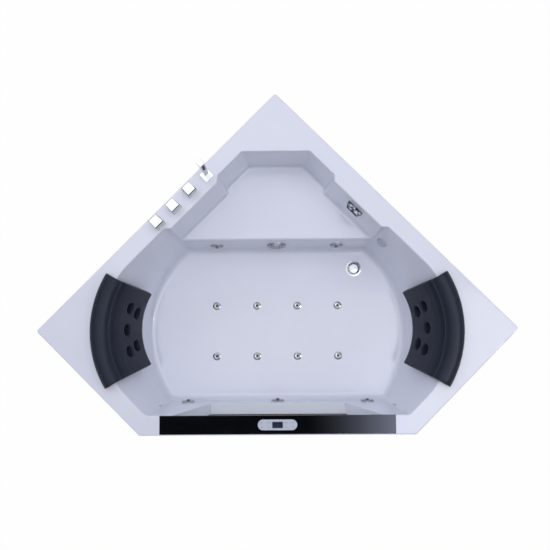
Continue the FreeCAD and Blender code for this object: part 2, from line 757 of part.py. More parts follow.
tap_spots = [deck_spot(dims.shower_from_corner + dims.tap_pitch * step) for step in (3, 2, 1)]
knob_base = rim_height + dims.escutcheon_height + dims.knob_lift
stem_top = knob_base + dims.knob_socket - dims.fit
valve_top = rim_height - dims.valve_top_drop
valve_base = rim_height - dims.valve_base_drop
tail_low = valve_base - dims.inlet_length
castings, plates, nuts = [], [], []
for index, (x, y, z) in enumerate(tap_spots, 1):
    thread = dims.valve_thread
    neck_top = rim_height + dims.escutcheon_height / 2
    valve = turned("valve_%d" % index, [
        (0, tail_low), (dims.inlet_radius, tail_low),
        (dims.inlet_radius, valve_base), (dims.valve_radius, valve_base),
        (dims.valve_radius, valve_top), (thread, valve_top),
        (thread, neck_top), (dims.stem_radius, neck_top),
        (dims.stem_radius, stem_top), (0, stem_top)])
    castings.append(place(valve, x, y, 0))
    plate = new_body("escutcheon_%d" % index)
    half = dims.escutcheon_side / 2
    square = outline(plate, "escutcheon_outline_%d" % index, rectangle(-half, half, -half, half))
    pad(plate, "escutcheon_plate_%d" % index, square, dims.escutcheon_height)
    round_edges(plate, "escutcheon_edge_%d" % index, dims.escutcheon_height / 4,
                lambda edge: level(edge, dims.escutcheon_height))
    bore = circle(plate, "escutcheon_bore_%d" % index, thread + dims.fit, offset=dims.escutcheon_height)
    pocket(plate, "escutcheon_hole_%d" % index, bore, dims.escutcheon_height)
    plates.append(place(plate, x, y, z, spun(45)))
    nut = doc.addObject("Part::Prism", "backnut_blank_%d" % index)
    nut.Polygon = 6
    bind(nut, "Circumradius", dims.backnut_radius)
    bind(nut, "Height", dims.backnut_height)
    nut_level = rim_height - dims.wall - dims.backnut_height
    place(nut, x, y, nut_level)
    bore = rod("backnut_bore_%d" % index, thread + dims.running, dims.backnut_height)
    nuts.append(cut("backnut_%d" % index, nut, place(bore, x, y, nut_level)))
    hole("tap_%d" % index, thread + dims.fit, (x, y, z))
bar = rod("manifold", dims.manifold_radius, dims.tap_pitch * 2)
along_wall = Vector(1, 1, 0).normalize()
place(bar, *tap_spots[0][:2], (valve_base + valve_top) / 2,
      FreeCAD.Rotation(Vector(0, 0, 1), along_wall))
node(fused("manifold_casting", castings + [bar]), "valve_bodies")
node(group("escutcheon_set", plates), "valve_escutcheons")
node(group("backnut_set", nuts), "valve_backnuts")

for name, (x, y, z) in zip(("hot_knob", "cold_knob", "diverter_knob"), tap_spots):
    knob = new_body(name + "_block")
    half = dims.knob_side / 2
    square = outline(knob, name + "_outline", rectangle(-half, half, -half, half))
    pad(knob, name + "_pad", square, dims.knob_height)
    round_edges(knob, name + "_edge", dims.knob_side / 16,
                lambda edge: level(edge, dims.knob_height) or upright(edge))
    bore = circle(knob, name + "_bore", dims.stem_radius + dims.running)
    pocket(knob, name + "_socket", bore, dims.knob_socket, reverse=True)
    node(place(knob, x, y, knob_base, spun(45)), name)

shower_x, shower_y, shower_z = deck_spot(dims.shower_from_corner)
sleeve = new_body("sleeve")
half = dims.holder_side / 2
square = outline(sleeve, "sleeve_outline", rectangle(-half, half, -half, half))
pad(sleeve, "sleeve_plate", square, dims.holder_height)
round_edges(sleeve, "sleeve_edge", dims.holder_height / 4, lambda edge: level(edge, dims.holder_height))
tube = circle(sleeve, "sleeve_tube_outline", dims.sleeve_radius)
pad(sleeve, "sleeve_tube", tube, dims.sleeve_length, reverse=True)
bore = circle(sleeve, "sleeve_bore_outline", dims.shower_stem + dims.running, offset=dims.holder_height)
pocket(sleeve, "sleeve_bore", bore, dims.sleeve_length + dims.holder_height)
node(place(sleeve, shower_x, shower_y, shower_z, spun(45)), "shower_sleeve")
hole("shower", dims.sleeve_radius + dims.fit, (shower_x, shower_y, shower_z))

stick = new_body("stick")
half = dims.shower_foot / 2
foot = outline(stick, "stick_foot", rectangle(-half, half, -half, half))
half = dims.shower_head / 2
head = outline(stick, "stick_head", rectangle(-half, half, -half, half), offset=dims.shower_length)
loft(stick, "stick_loft", "AdditiveLoft", foot, head)
stem = circle(stick, "stick_stem_outline", dims.shower_stem)
pad(stick, "stick_stem", stem, dims.shower_stem_length, reverse=True)
round_edges(stick, "stick_edges", dims.shower_round, lambda edge: max(point.z for point in ends(edge)) > 1)
half = dims.spray_width / 2
spray_top = dims.shower_length - dims.spray_width
spray = rectangle(-half, half, spray_top - dims.spray_length, spray_top)
spray = outline(stick, "spray_outline", spray, role="XZ_Plane", offset=dims.shower_head)
pocket(stick, "spray_face", spray, dims.shower_head / 2 + dims.spray_depth)
node(place(stick, shower_x, shower_y, shower_z + dims.holder_height + dims.fit, spun(45)), "hand_shower")


# Filler spout on the right side of the seat recess

spout_spot, spout_turn = bump_wall(dims.spout_x, dims.spout_depth)
spout = new_body("spout")
half, deep = dims.spout_width / 2, dims.spout_plate / 2
plate = outline(spout, "spout_plate_outline", rectangle(-half, half, -deep, deep), offset=dims.contact)
pad(spout, "spout_plate", plate, dims.spout_plate_height)
half, deep = half - dims.contact, deep - dims.contact
root_edge = outline(spout, "spout_root", rectangle(-half, half, -deep, deep), offset=dims.spout_plate_height)
half, deep = dims.spout_nose / 2, dims.spout_nose_height / 2
nose = outline(spout, "spout_nose", rectangle(-half, half, -deep, deep), offset=dims.spout_reach)
loft(spout, "spout_hood", "AdditiveLoft", root_edge, nose)
round_edges(spout, "spout_edges", dims.spout_plate_height / 2,
            lambda edge: ends(edge)[0].z > dims.spout_plate_height.value + 1
            or ends(edge)[-1].z > dims.spout_plate_height.value + 1)
half, deep = dims.spout_slot / 2, dims.spout_slot_height / 2
slot = outline(spout, "spout_slot_outline", rectangle(-half, half, -deep, deep), offset=dims.spout_reach)
pocket(spout, "spout_slot", slot, dims.spout_reach - dims.spout_plate_height)
tail = circle(spout, "spout_tail_outline", dims.spout_tail, offset=dims.contact)
pad(spout, "spout_tail", tail, dims.spout_tail_length, reverse=True)
elbow_back = dims.spout_tail_length - dims.spout_tail
elbow_drop = dims.spout_tail * 2
elbow = circle(spout, "spout_elbow_outline", dims.filler_radius, role="XZ_Plane", up=-elbow_back)
pad(spout, "spout_elbow", elbow, elbow_drop)
node(place(spout, *spout_spot, spout_turn), "filler_spout")
hole("spout", dims.spout_tail + dims.fit, spout_spot, spout_turn)


# Whirlpool jets: a body with a nut behind the wall, a turning ring and a ball nozzle

jet_walls = {
    "back_left": back_wall(-dims.jet_back_x, dims.well_depth - dims.jet_back_rise),
    "back_right": back_wall(dims.jet_back_x, dims.well_depth - dims.jet_back_rise),
    "front_left": front_wall(-dims.jet_front_x, dims.well_depth - dims.jet_front_rise),
    "front_right": front_wall(dims.jet_front_x, dims.well_depth - dims.jet_front_rise),
    "front_middle": front_wall(0, dims.well_depth - dims.jet_mid_rise),
}
ring_base = dims.jet_flange_height + dims.contact
ball_seat = dims.ball_radius + dims.running
seat_mouth = root(ball_seat * ball_seat - dims.ball_band * dims.ball_band)
port_reach = dims.jet_barrel + dims.jet_port
nut_face = dims.wall + dims.contact * 2
nut_back = nut_face + dims.jet_nut_height
bodies, nuts = [], []
for name, (spot, turn) in jet_walls.items():
    body = turned("jet_" + name, [
        (0, -dims.jet_length), (dims.jet_barrel, -dims.jet_length), (dims.jet_barrel, dims.contact),
        (dims.jet_flange, dims.contact), (dims.jet_flange, dims.jet_flange_height),
        (dims.jet_bore, dims.jet_flange_height), (dims.jet_bore, -dims.jet_bore_depth),
        (0, -dims.jet_bore_depth)])
    upwards = name.startswith("back")
    start = dims.jet_barrel - dims.wall
    port = circle(body, "jet_port_outline_" + name, dims.jet_port, role="XZ_Plane",
                  offset=-start if upwards else start, up=-dims.jet_port_back)
    pad(body, "jet_port_" + name, port, port_reach - start, reverse=upwards)
    bodies.append(place(body, *spot, turn))
    thread = dims.jet_barrel + dims.running
    nut = turned("jet_nut_" + name, [
        (thread, -nut_back), (dims.jet_nut, -nut_back), (dims.jet_nut, -nut_face), (thread, -nut_face)])
    nuts.append(place(nut, *spot, turn))
    hole("jet_" + name, dims.jet_barrel + dims.fit, spot, turn)
    skirt = dims.jet_bore - dims.running
    ring = turned("ring_" + name, [
        (seat_mouth, -dims.ring_skirt), (skirt, -dims.ring_skirt), (skirt, ring_base),
        (dims.ring_radius, ring_base), (dims.ring_radius, ring_base + dims.ring_height / 2),
        (dims.ring_radius - dims.ring_height, ring_base + dims.ring_height),
        (seat_mouth + dims.ring_height / 2, ring_base + dims.ring_height),
        (seat_mouth, dims.ball_centre + dims.ball_band), (seat_mouth, dims.ball_centre - dims.ball_band)],
        arcs={7: (0, dims.ball_centre)})
    node(place(ring, *spot, turn), "jet_ring_" + name)
    bore, ball, outer = dims.nozzle_bore, dims.ball_radius, dims.nozzle_radius
    low = dims.ball_centre - root(ball * ball - bore * bore)
    shoulder = dims.ball_centre + root(ball * ball - outer * outer)
    tip = dims.ball_centre + dims.nozzle_reach
    nozzle = turned("nozzle_" + name, [(bore, low), (outer, shoulder), (outer, tip), (bore, tip)],
                    arcs={0: (0, dims.ball_centre)})
    node(place(nozzle, *spot, turn), "jet_nozzle_" + name)
node(group("jet_body_set", bodies), "jet_bodies")
node(group("jet_nut_set", nuts), "jet_nuts")


# Suction fitting in the middle of the back wall, with a drilled cover

suction_spot, suction_turn = back_wall(0, dims.well_depth - dims.suction_rise)
flange = dims.suction_radius - dims.wall
start = dims.suction_barrel - dims.wall
suction = turned("suction", [
    (0, -dims.suction_length), (dims.suction_barrel, -dims.suction_length),
    (dims.suction_barrel, dims.contact), (flange, dims.contact), (flange, dims.jet_flange_height),
    (start, dims.jet_flange_height), (start, -dims.jet_bore_depth), (0, -dims.jet_bore_depth)])
port = circle(suction, "suction_port_outline", dims.suction_pipe_radius, role="XZ_Plane", offset=start,
              up=-dims.jet_port_back)
suction_port_reach = dims.suction_barrel + dims.suction_pipe_radius
pad(suction, "suction_port", port, suction_port_reach - start)
thread = dims.suction_barrel + dims.running
suction_nut = turned("suction_nut", [
    (thread, -nut_back), (dims.suction_nut, -nut_back), (dims.suction_nut, -nut_face), (thread, -nut_face)])
place(suction, *suction_spot, suction_turn)
place(suction_nut, *suction_spot, suction_turn)
node(group("suction_set", [suction, suction_nut]), "suction_body")
hole("suction", dims.suction_barrel + dims.fit, suction_spot, suction_turn)

cover_skin = dims.jet_flange_height
shoulder = dims.suction_shoulder
top = dims.suction_height
inside = top - cover_skin
rebate = flange + dims.contact
cover = turned("cover", [
    (rebate, dims.contact), (dims.suction_radius, dims.contact), (dims.suction_radius, top / 3),
    (shoulder, top), (0, top), (0, inside), (shoulder - cover_skin, inside), (rebate, top / 3)])
for row, count in ((1, 6), (2, 12)):
    drilled = circle(cover, "cover_hole_outline_%d" % row, dims.suction_hole, offset=top,
                     across=dims.suction_hole_row * row)
    drilled = pocket(cover, "cover_hole_%d" % row, drilled, cover_skin * 2)
    polar(cover, "cover_holes_%d" % row, drilled, count)
node(place(cover, *suction_spot, suction_turn), "suction_cover")


# Air jets in the floor, with tubes below them

air_spots = []
for along in (-0.5, 0.5):
    for across in (-3, -1, 1, 3):
        air_spots.append((dims.air_jet_x * across, dims.air_jet_y + dims.air_jet_row * along))
stub_bore = dims.air_stub + dims.fit
below = dims.wall + dims.contact
nut_low = below + dims.air_stub
caps, tubes = [], []
for index, (x, y) in enumerate(air_spots, 1):
    cap = turned("air_cap_%d" % index, [
        (dims.air_cap_hole, 0), (dims.air_cap, 0), (dims.air_cap, dims.air_cap_height / 3),
        (dims.air_barrel, dims.air_cap_height), (dims.air_cap_hole, dims.air_cap_height * 2 / 3)])
    caps.append(place(cap, x, y, floor_level))
    tube = turned("air_tube_%d" % index, [
        (stub_bore, -dims.air_length), (dims.air_barrel, -dims.air_length), (dims.air_barrel, -nut_low),
        (dims.air_cap, -nut_low), (dims.air_cap, -below), (dims.air_barrel, -below),
        (dims.air_barrel, -dims.contact), (stub_bore, -dims.contact)])
    tubes.append(place(tube, x, y, floor_level))
    hole("air_%d" % index, dims.air_barrel + dims.fit, (x, y, floor_level))
node(group("air_cap_set", caps), "air_jet_caps")
node(group("air_tube_set", tubes), "air_jet_bodies")


# Waste: a flange with a guide for the pop-up plug, the plug, and the elbow below

drain_turn = math.radians(SIZES["drain_angle"])
drain_reach = floor_radius - dims.drain_inset
drain_x = dims.floor_centre_x + drain_reach * math.cos(drain_turn)
drain_y = dims.floor_centre_y + drain_reach * math.sin(drain_turn)
waste_level = floor_level - dims.waste_drop
drain_spot = (drain_x, drain_y, floor_level)
ring_top = dims.drain_flange_height
ring = turned("drain_ring", [
    (dims.drain_bore, -dims.drain_length), (dims.drain_barrel, -dims.drain_length), (dims.drain_barrel, 0),
    (dims.drain_flange, 0), (dims.drain_flange, ring_top / 2),
    (dims.drain_barrel + ring_top, ring_top), (dims.drain_bore, ring_top)])
place(ring, *drain_spot)
guide_height = dims.drain_length / 4
guide_level = floor_level - dims.drain_length / 2
guide = rod("guide_boss", dims.plug_stem * 2, guide_height)
place(guide, drain_x, drain_y, guide_level)
web = block("guide_web", (dims.drain_bore + dims.fit) * 2, dims.plug_stem, guide_height)
place(web, drain_x - dims.drain_bore - dims.fit, drain_y - dims.plug_stem / 2, guide_level)
bore = rod("guide_bore", dims.plug_stem + dims.running, guide_height * 3)
place(bore, drain_x, drain_y, guide_level - guide_height)
node(cut("drain_flange_cut", fused("drain_flange_parts", [ring, guide, web]), bore), "drain_flange")
hole("drain", dims.drain_barrel + dims.fit, drain_spot)

plug_low = dims.drain_flange_height + dims.contact
plug_top = plug_low + dims.plug_height
plug = turned("plug", [
    (0, -dims.plug_length), (dims.plug_stem, -dims.plug_length), (dims.plug_stem, plug_low),
    (dims.plug_radius, plug_low), (dims.plug_radius, plug_low + dims.plug_height / 3),
    (dims.plug_radius * 2 / 3, plug_top - dims.plug_height / 5), (0, plug_top)])
node(place(plug, *drain_spot), "drain_plug")


def pipe(name, points, radius, bend):
    """A round pipe through points in the layout, with a tangent arc at each corner; ends are square."""
    points = [Vector(*[number(size) for size in point]) - Vector(0, middle.value, 0) for point in points]
    edges, start = [], points[0]
    for before, corner, after in zip(points, points[1:], points[2:]):
        towards, away = (before - corner).normalize(), (after - corner).normalize()
        half_angle = towards.getAngle(away) / 2
        reach = number(bend) / math.tan(half_angle)
        inside = (towards + away).normalize() * (number(bend) / math.sin(half_angle) - number(bend))
        first, last = corner + towards * reach, corner + away * reach
        edges.append(Part.LineSegment(start, first).toShape())
        edges.append(Part.Arc(first, corner + inside, last).toShape())
        start = last
    edges.append(Part.LineSegment(start, points[-1]).toShape())
    path = Part.Wire(edges)
    section = Part.Wire(Part.Circle(points[0], points[1] - points[0], number(radius)).toShape())
    shape = path.makePipeShell([section], True, False)
    expected = math.pi * number(radius) ** 2 * path.Length
    if abs(shape.Volume - expected) > 0.01 * expected:
        raise RuntimeError(name + " has a faulty sweep")
    thing = doc.addObject("Part::Feature", name)
    thing.Shape = shape
    return thing


socket_radius = dims.drain_barrel + dims.wall
socket_low = dims.drain_length + dims.contact
socket = turned("waste_socket", [
    (0, -socket_low - dims.wall), (socket_radius, -socket_low - dims.wall),
    (socket_radius, -dims.drain_length / 2), (dims.drain_barrel + dims.running, -dims.drain_length / 2),
    (dims.drain_barrel + dims.running, -socket_low), (0, -socket_low)])
place(socket, *drain_spot)
socket_floor = floor_level - socket_low


def waste_run(name, start, radius):
    """The waste pipe from inside the socket, down and then out to the right."""
    route = [(drain_x, drain_y, start), (drain_x, drain_y, waste_level),
             (drain_x + dims.waste_reach, drain_y, waste_level)]
    return pipe(name, route, radius, dims.pipe_bend)


waste_outer = waste_run("waste_outer", socket_floor - dims.contact, dims.waste_radius)
waste_inner = waste_run("waste_inner", socket_floor + dims.contact, dims.waste_radius - dims.frame_wall)
node(cut("waste_cut", fused("waste_parts", [socket, waste_outer]), waste_inner), "drain_elbow")


# Light in the end wall beside the seat

light_spot, light_turn = end_wall(dims.light_x, dims.light_depth)
lens_low = dims.jet_flange_height
housing = turned("light", [
    (0, -dims.light_length), (dims.light_barrel, -dims.light_length), (dims.light_barrel, dims.contact),
    (dims.light_radius, dims.contact), (dims.light_radius, lens_low), (0, lens_low)])
node(place(housing, *light_spot, light_turn), "light_housing")
lens_edge = dims.light_radius - dims.contact
lens_top = lens_low + dims.light_dome
dome = turned("light_dome", [
    (0, lens_low), (lens_edge, lens_low), (lens_edge, lens_low + dims.contact),
    (dims.light_radius * 2 / 3, lens_top - dims.contact), (0, lens_top)])
node(place(dome, *light_spot, light_turn), "light_lens")
hole("light", dims.light_barrel + dims.fit, light_spot, light_turn)

node(cut("shell_drilled", shell, fused("shell_holes", holes)), "tub_shell")


# Welded steel frame: posts at the corners, rails between them, and bearers under the well

tube, inset = dims.frame_tube, dims.frame_inset
post_top = rim_height - dims.wall
rail_base = dims.foot_height
frame = []


def bar(name, x, y, z, across, along, height, hollow, turn=0):
    """A square steel tube; hollow names the axis of its bore, and turn lines it up with a wall."""
    sizes = {"x": across, "y": along, "z": height}
    outer = place(block(name + "_outer", across, along, height), x, y, z, spun(turn))
    bored = {axis: sizes[axis] if axis == hollow else sizes[axis] - dims.frame_wall * 2 for axis in sizes}
    shift = {axis: as_size(0) if axis == hollow else dims.frame_wall for axis in sizes}
    cosine, sine = math.cos(math.radians(turn)), math.sin(math.radians(turn))
    inner = block(name + "_bore", bored["x"], bored["y"], bored["z"])
    place(inner, x + shift["x"] * cosine - shift["y"] * sine, y + shift["x"] * sine + shift["y"] * cosine,
          z + shift["z"], spun(turn))
    frame.append(cut(name, outer, inner))


def square_spot(along_right, along_left):
    """A point given from the square's missing front corner, along its right and its left side."""
    return (along_right - along_left) / ROOT2, (along_right + along_left) / ROOT2 - side_reach


side = dims.back_side
near, far = inset, side - inset - tube
rise = post_top - rail_base
feet = []
for name, right, left in (("right", far, near), ("back", far, far), ("left", near, far)):
    bar("post_" + name, *square_spot(right, left), rail_base, tube, tube, rise, "z", 45)
    feet.append(square_spot(right + tube / 2, left + tube / 2))
front_face = inset - front_reach
post_out = side_reach - inset * ROOT2 + front_face
for name, x in (("front_right", post_out - tube), ("front_left", -post_out)):
    bar("post_" + name, x, front_face, rail_base, tube, tube, rise, "z")
    feet.append((x + tube / 2, front_face + tube / 2))
bar("rail_front", tube - post_out, front_face, rail_base, (post_out - tube) * 2, tube, tube, "x")
short_start = (post_out + front_face + tube + side_reach) / ROOT2 + dims.contact
bar("rail_right", *square_spot(short_start, near), rail_base, far - short_start, tube, tube, "x", 45)
bar("rail_left", *square_spot(near, short_start), rail_base, tube, far - short_start, tube, "y", 45)
bar("rail_back_right", *square_spot(far, near + tube), rail_base, tube, far - near - tube, tube, "y", 45)
# The rail behind the taps stands one tube further in, which leaves the hot and cold inlets free below
bar("rail_back_left", *square_spot(near + tube, far - tube), rail_base, far - near - tube, tube, tube,
    "x", 45)
reach = side_reach - (inset + tube) * ROOT2 - dims.contact
crossings = {"front": dims.front_cross, "back": dims.back_cross,
             "pump_front": dims.pump_rail_front, "pump_back": dims.pump_rail_back}
for name, y in crossings.items():
    half = reach + y - tube / 2 if y.value < 0 else reach - y - tube / 2
    left_half = half if y.value < 0 else half - tube * ROOT2
    bar("cross_" + name, -left_half, y - tube / 2, rail_base, half + left_half, tube, tube, "x")
under_floor = floor_level - dims.wall
for name, x in (("right", dims.bearer_x), ("left", -dims.bearer_x)):
    bar("bearer_" + name, x - tube / 2, dims.front_cross - tube / 2, under_floor - tube, tube,
        dims.back_cross - dims.front_cross + tube, tube, "y")
    for end, y in (("front", dims.front_cross), ("back", dims.back_cross)):
        bar("leg_%s_%s" % (end, name), x - tube / 2, y - tube / 2, rail_top, tube, tube,
            under_floor - tube - rail_top, "z")
        feet.append((x, y))
node(group("frame_set", frame), "steel_frame")

pieces = []
for index, (x, y) in enumerate(feet, 1):
    foot = turned("foot_%d" % index, [
        (0, 0), (dims.foot_pad, 0), (dims.foot_pad, dims.foot_pad_height / 2),
        (dims.foot_stud * 2, dims.foot_pad_height), (dims.foot_stud, dims.foot_pad_height),
        (dims.foot_stud, dims.foot_height), (0, dims.foot_height)])
    nut = doc.addObject("Part::Prism", "foot_nut_blank_%d" % index)
    nut.Polygon = 6
    bind(nut, "Circumradius", dims.foot_nut)
    bind(nut, "Height", dims.foot_nut_height)
    nut_level = dims.foot_height - dims.foot_nut_height
    place(nut, x, y, nut_level)
    bore = rod("foot_nut_bore_%d" % index, dims.foot_stud + dims.running, dims.foot_nut_height)
    pieces += [place(foot, x, y, 0), cut("foot_nut_%d" % index, nut, place(bore, x, y, nut_level))]
node(group("feet_set", pieces), "levelling_feet")


# Skirt panels that tuck behind the lip, each held to its rail by folded tabs

skirt_out = dims.wall + dims.contact
skirt_in = skirt_out + dims.skirt_thickness
skirt_top = rim_height - dims.skirt_top_gap


def skirt(name, length):
    """A panel from x = 0 to length, its inner face on y = 0, with two tabs that lie on the rail."""
    body = new_body(name + "_panel")
    panel = rectangle(0, length, dims.skirt_toe, skirt_top)
    panel = outline(body, name + "_outline", panel, role="XZ_Plane")
    pad(body, name + "_sheet", panel, dims.skirt_thickness)
    half = dims.skirt_tab / 2
    for share in (1, 4):
        at = length * share / 5
        tab = rectangle(at - half, at + half, 0, inset - skirt_in + dims.skirt_tab_grip)
        tab = outline(body, "%s_tab_%d" % (name, share), tab, offset=rail_top)
        pad(body, "%s_tab_pad_%d" % (name, share), tab, dims.skirt_thickness / 2)
    return body


skirt_corner = side_reach - skirt_out * ROOT2 + skirt_out - front_reach
front_length = (skirt_corner - dims.skirt_thickness) * 2
front_skirt = skirt("front", front_length)
view = [(across + front_length / 2, up) for across, up in
        window_outline(dims.skirt_window_frame, lip_level - dims.skirt_window_frame)]
view = outline(front_skirt, "skirt_window_outline", view, role="XZ_Plane")
pocket(front_skirt, "skirt_window", view, dims.skirt_thickness, reverse=True)
node(place(front_skirt, -front_length / 2, skirt_in - front_reach, 0), "front_skirt")
side_start = (skirt_corner + skirt_out - front_reach + side_reach) / ROOT2 + dims.skirt_thickness
side_length = side - dims.skirt_end - side_start
right_skirt = place(skirt("right", side_length), *square_spot(side_start, skirt_in), 0, spun(45))
node(right_skirt, "right_skirt")
side_end = side_start + side_length
left_skirt = place(skirt("left", side_length), *square_spot(skirt_in, side_end), 0, spun(-45))
node(left_skirt, "left_skirt")


# Pump under the seat: ribbed motor, volute, and the rotor that joins them

along_x = FreeCAD.Rotation(Vector(0, 0, 1), Vector(1, 0, 0))
pump_level = rail_top + dims.pump_lift
pump_spot = (dims.motor_start, dims.pump_y, pump_level)
ribbed = dims.motor_radius - dims.motor_rib
bearing = dims.motor_length / 3
shoulder = dims.motor_rib * 2
shaft_bore = dims.shaft_radius + dims.running
motor = turned("motor", [
    (shaft_bore, 0), (ribbed - shoulder, 0), (ribbed, shoulder), (ribbed, dims.motor_length - shoulder),
    (ribbed - shoulder, dims.motor_length), (0, dims.motor_length), (0, bearing), (shaft_bore, bearing)])
rib = rectangle(ribbed - dims.motor_rib, dims.motor_radius, -dims.motor_rib / 2, dims.motor_rib / 2)
rib = pad(motor, "motor_rib", outline(motor, "motor_rib_outline", rib, offset=dims.motor_rib * 3),
          dims.motor_length - dims.motor_rib * 6)
polar(motor, "motor_ribs", rib, 18)
place(motor, *pump_spot, along_x)
foot = block("pump_foot", dims.pump_foot_length, dims.pump_foot_width, dims.pump_foot_height)
foot_x = dims.motor_start + (dims.motor_length - dims.pump_foot_length) / 2
place(foot, foot_x, dims.pump_y - dims.pump_foot_width / 2, rail_top)
saddle_height = pump_level - ribbed + shoulder - rail_top
saddle = block("pump_saddle", dims.pump_foot_length, dims.motor_radius, saddle_height)
place(saddle, foot_x, dims.pump_y - dims.motor_radius / 2, rail_top)
node(fused("motor_parts", [motor, foot, saddle]), "pump_motor")

volute_start = dims.motor_start - dims.volute_length
discharge_x = volute_start + dims.volute_length / 2
discharge_top = pump_level + dims.discharge_rise
casing = rod("volute_casing", dims.volute_radius, dims.volute_length)
place(casing, volute_start, dims.pump_y, pump_level, along_x)
outlet = rod("volute_outlet", dims.pipe_radius + dims.volute_wall / 2, dims.discharge_rise)
place(outlet, discharge_x, dims.discharge_y, pump_level)
chamber_length = dims.volute_length - dims.volute_wall * 2
chamber = rod("volute_chamber", dims.volute_radius - dims.volute_wall, chamber_length)
place(chamber, volute_start + dims.volute_wall, dims.pump_y, pump_level, along_x)
inlet = rod("volute_inlet", dims.suction_pipe_radius - dims.frame_wall, dims.volute_wall * 2)
place(inlet, volute_start, dims.pump_y, pump_level, along_x)
shaft_hole = rod("volute_shaft", shaft_bore, dims.volute_wall * 2)
place(shaft_hole, dims.motor_start - dims.volute_wall * 2, dims.pump_y, pump_level, along_x)
discharge = rod("volute_discharge", dims.pipe_radius - dims.frame_wall, dims.discharge_rise)
place(discharge, discharge_x, dims.discharge_y, pump_level)
spaces = fused("volute_space", [chamber, inlet, shaft_hole, discharge])
node(cut("volute_cut", fused("volute_solid", [casing, outlet]), spaces), "pump_volute")

eye = -dims.volute_length / 2
half = dims.impeller_thickness / 2
hub = dims.shaft_radius * 2
shaft_end = bearing - dims.fit
rotor = turned("rotor", [
    (0, eye - half), (hub, eye - half), (hub, eye - half / 3), (dims.impeller_radius, eye - half / 3),
    (dims.impeller_radius, eye + half / 3), (dims.shaft_radius, eye + half), (dims.shaft_radius, shaft_end),
    (0, shaft_end)])
vane = rectangle(dims.shaft_radius, dims.impeller_radius, -dims.vane_thickness / 2, dims.vane_thickness / 2)
vane = pad(rotor, "vane", outline(rotor, "vane_outline", vane, offset=eye - half), half)
polar(rotor, "vanes", vane, 6)
node(place(rotor, *pump_spot, along_x), "pump_rotor")


# Pipes: suction to the pump, pressure to the five jets, air to the floor, and hot water to the spout

def from_fitting(wall_place, across, up, out):
    """A point given in a fitting's own axes, in the layout."""
    spot, turn = wall_place
    offset = turn.multVec(Vector(number(across), number(up), number(out)))
    return Vector(*[number(size) for size in spot]) + offset


def follow(start, towards, height):
    """The point where the line from start towards a second point reaches this height."""
    step = towards - start
    return start + step * ((number(height) - start.z) / step.z)


suction_wall = (suction_spot, suction_turn)
suction_end = from_fitting(suction_wall, 0, -suction_port_reach, -dims.jet_port_back)
suction_middle = from_fitting(suction_wall, 0, 0, -dims.jet_port_back)
below = follow(suction_middle, suction_end, pump_level)
route = [suction_end, below, (dims.suction_run_x, below.y, pump_level),
         (dims.suction_run_x, dims.pump_y, pump_level), (volute_start, dims.pump_y, pump_level)]
node(pipe("suction_run", route, dims.suction_pipe_radius, dims.pipe_bend), "suction_pipe")

ports = {}
for name, wall_place in jet_walls.items():
    reach_up = port_reach if name.startswith("back") else -port_reach
    ports[name] = (from_fitting(wall_place, 0, reach_up, -dims.jet_port_back),
                   from_fitting(wall_place, 0, 0, -dims.jet_port_back))
header_level = floor_level + dims.header_rise
front_run_level = rail_top + dims.front_run_lift
header = follow(ports["back_right"][1], ports["back_right"][0], header_level)
front_run = follow(ports["front_left"][1], ports["front_left"][0], front_run_level)
runs = [
    pipe("header_run", [(dims.jet_back_x + dims.pipe_radius, header.y, header_level),
         (dims.side_run_x, header.y, header_level), (dims.side_run_x, header.y, front_run_level),
         (dims.side_run_x, front_run.y, front_run_level)], dims.pipe_radius, dims.pipe_bend),
    pipe("front_run", [ports["front_left"][0], (front_run.x, front_run.y, front_run_level),
         (-front_run.x, front_run.y, front_run_level), ports["front_right"][0]],
         dims.front_pipe_radius, dims.pipe_bend),
    pipe("middle_run", [(0, front_run.y, front_run_level), ports["front_middle"][0]],
         dims.jet_port, dims.pipe_bend),
    pipe("pump_run", [(discharge_x, dims.discharge_y, discharge_top),
         (discharge_x, dims.discharge_y, header_level), (discharge_x, header.y, header_level)],
         dims.jet_port, dims.pipe_bend),
]
for name in ("back_left", "back_right"):
    tee = follow(ports[name][1], ports[name][0], header_level)
    runs.append(pipe("drop_" + name, [ports[name][0], tee], dims.jet_port, dims.pipe_bend))
node(fused("pressure_runs", runs), "water_pipes")

air_pipe_level = floor_level - dims.air_drop
blower_side = dims.blower_y - dims.blower_radius - dims.air_pipe_radius
rows = sorted({y.value: y for x, y in air_spots}.items())
trunk = rod("air_trunk", dims.air_pipe_radius, blower_side - rows[0][1])
along_y = FreeCAD.Rotation(Vector(0, 0, 1), Vector(0, 1, 0))
air_runs = [place(trunk, dims.air_trunk_x, rows[0][1], air_pipe_level, along_y)]
row_half = dims.air_jet_x * 3 + dims.air_pipe_radius
for index, (_, y) in enumerate(rows, 1):
    row = rod("air_row_%d" % index, dims.air_pipe_radius, row_half * 2)
    air_runs.append(place(row, -row_half, y, air_pipe_level, along_x))
stub_height = floor_level - dims.air_length + dims.air_barrel - air_pipe_level
for index, (x, y) in enumerate(air_spots, 1):
    stub = rod("air_stub_%d" % index, dims.air_stub, stub_height)
    air_runs.append(place(stub, x, y, air_pipe_level))
node(fused("air_runs", air_runs), "air_pipe")

filler_level = rim_height - dims.filler_drop
diverter_x, diverter_y, _ = tap_spots[2]
corner_y = diverter_y + (-dims.filler_corner - diverter_x)
spout_wall = (spout_spot, spout_turn)
spout_end = from_fitting(spout_wall, 0, -elbow_drop, -elbow_back)
spout_turn_point = follow(from_fitting(spout_wall, 0, 0, -elbow_back), spout_end, filler_level)
route = [(diverter_x, diverter_y, tail_low), (diverter_x, diverter_y, filler_level),
         (-dims.filler_corner, corner_y, filler_level),
         (dims.filler_corner, corner_y, filler_level), spout_turn_point, spout_end]
node(pipe("filler_run", route, dims.filler_radius, dims.filler_bend), "filler_pipe")


# Air blower under the seat and the control box on the left post

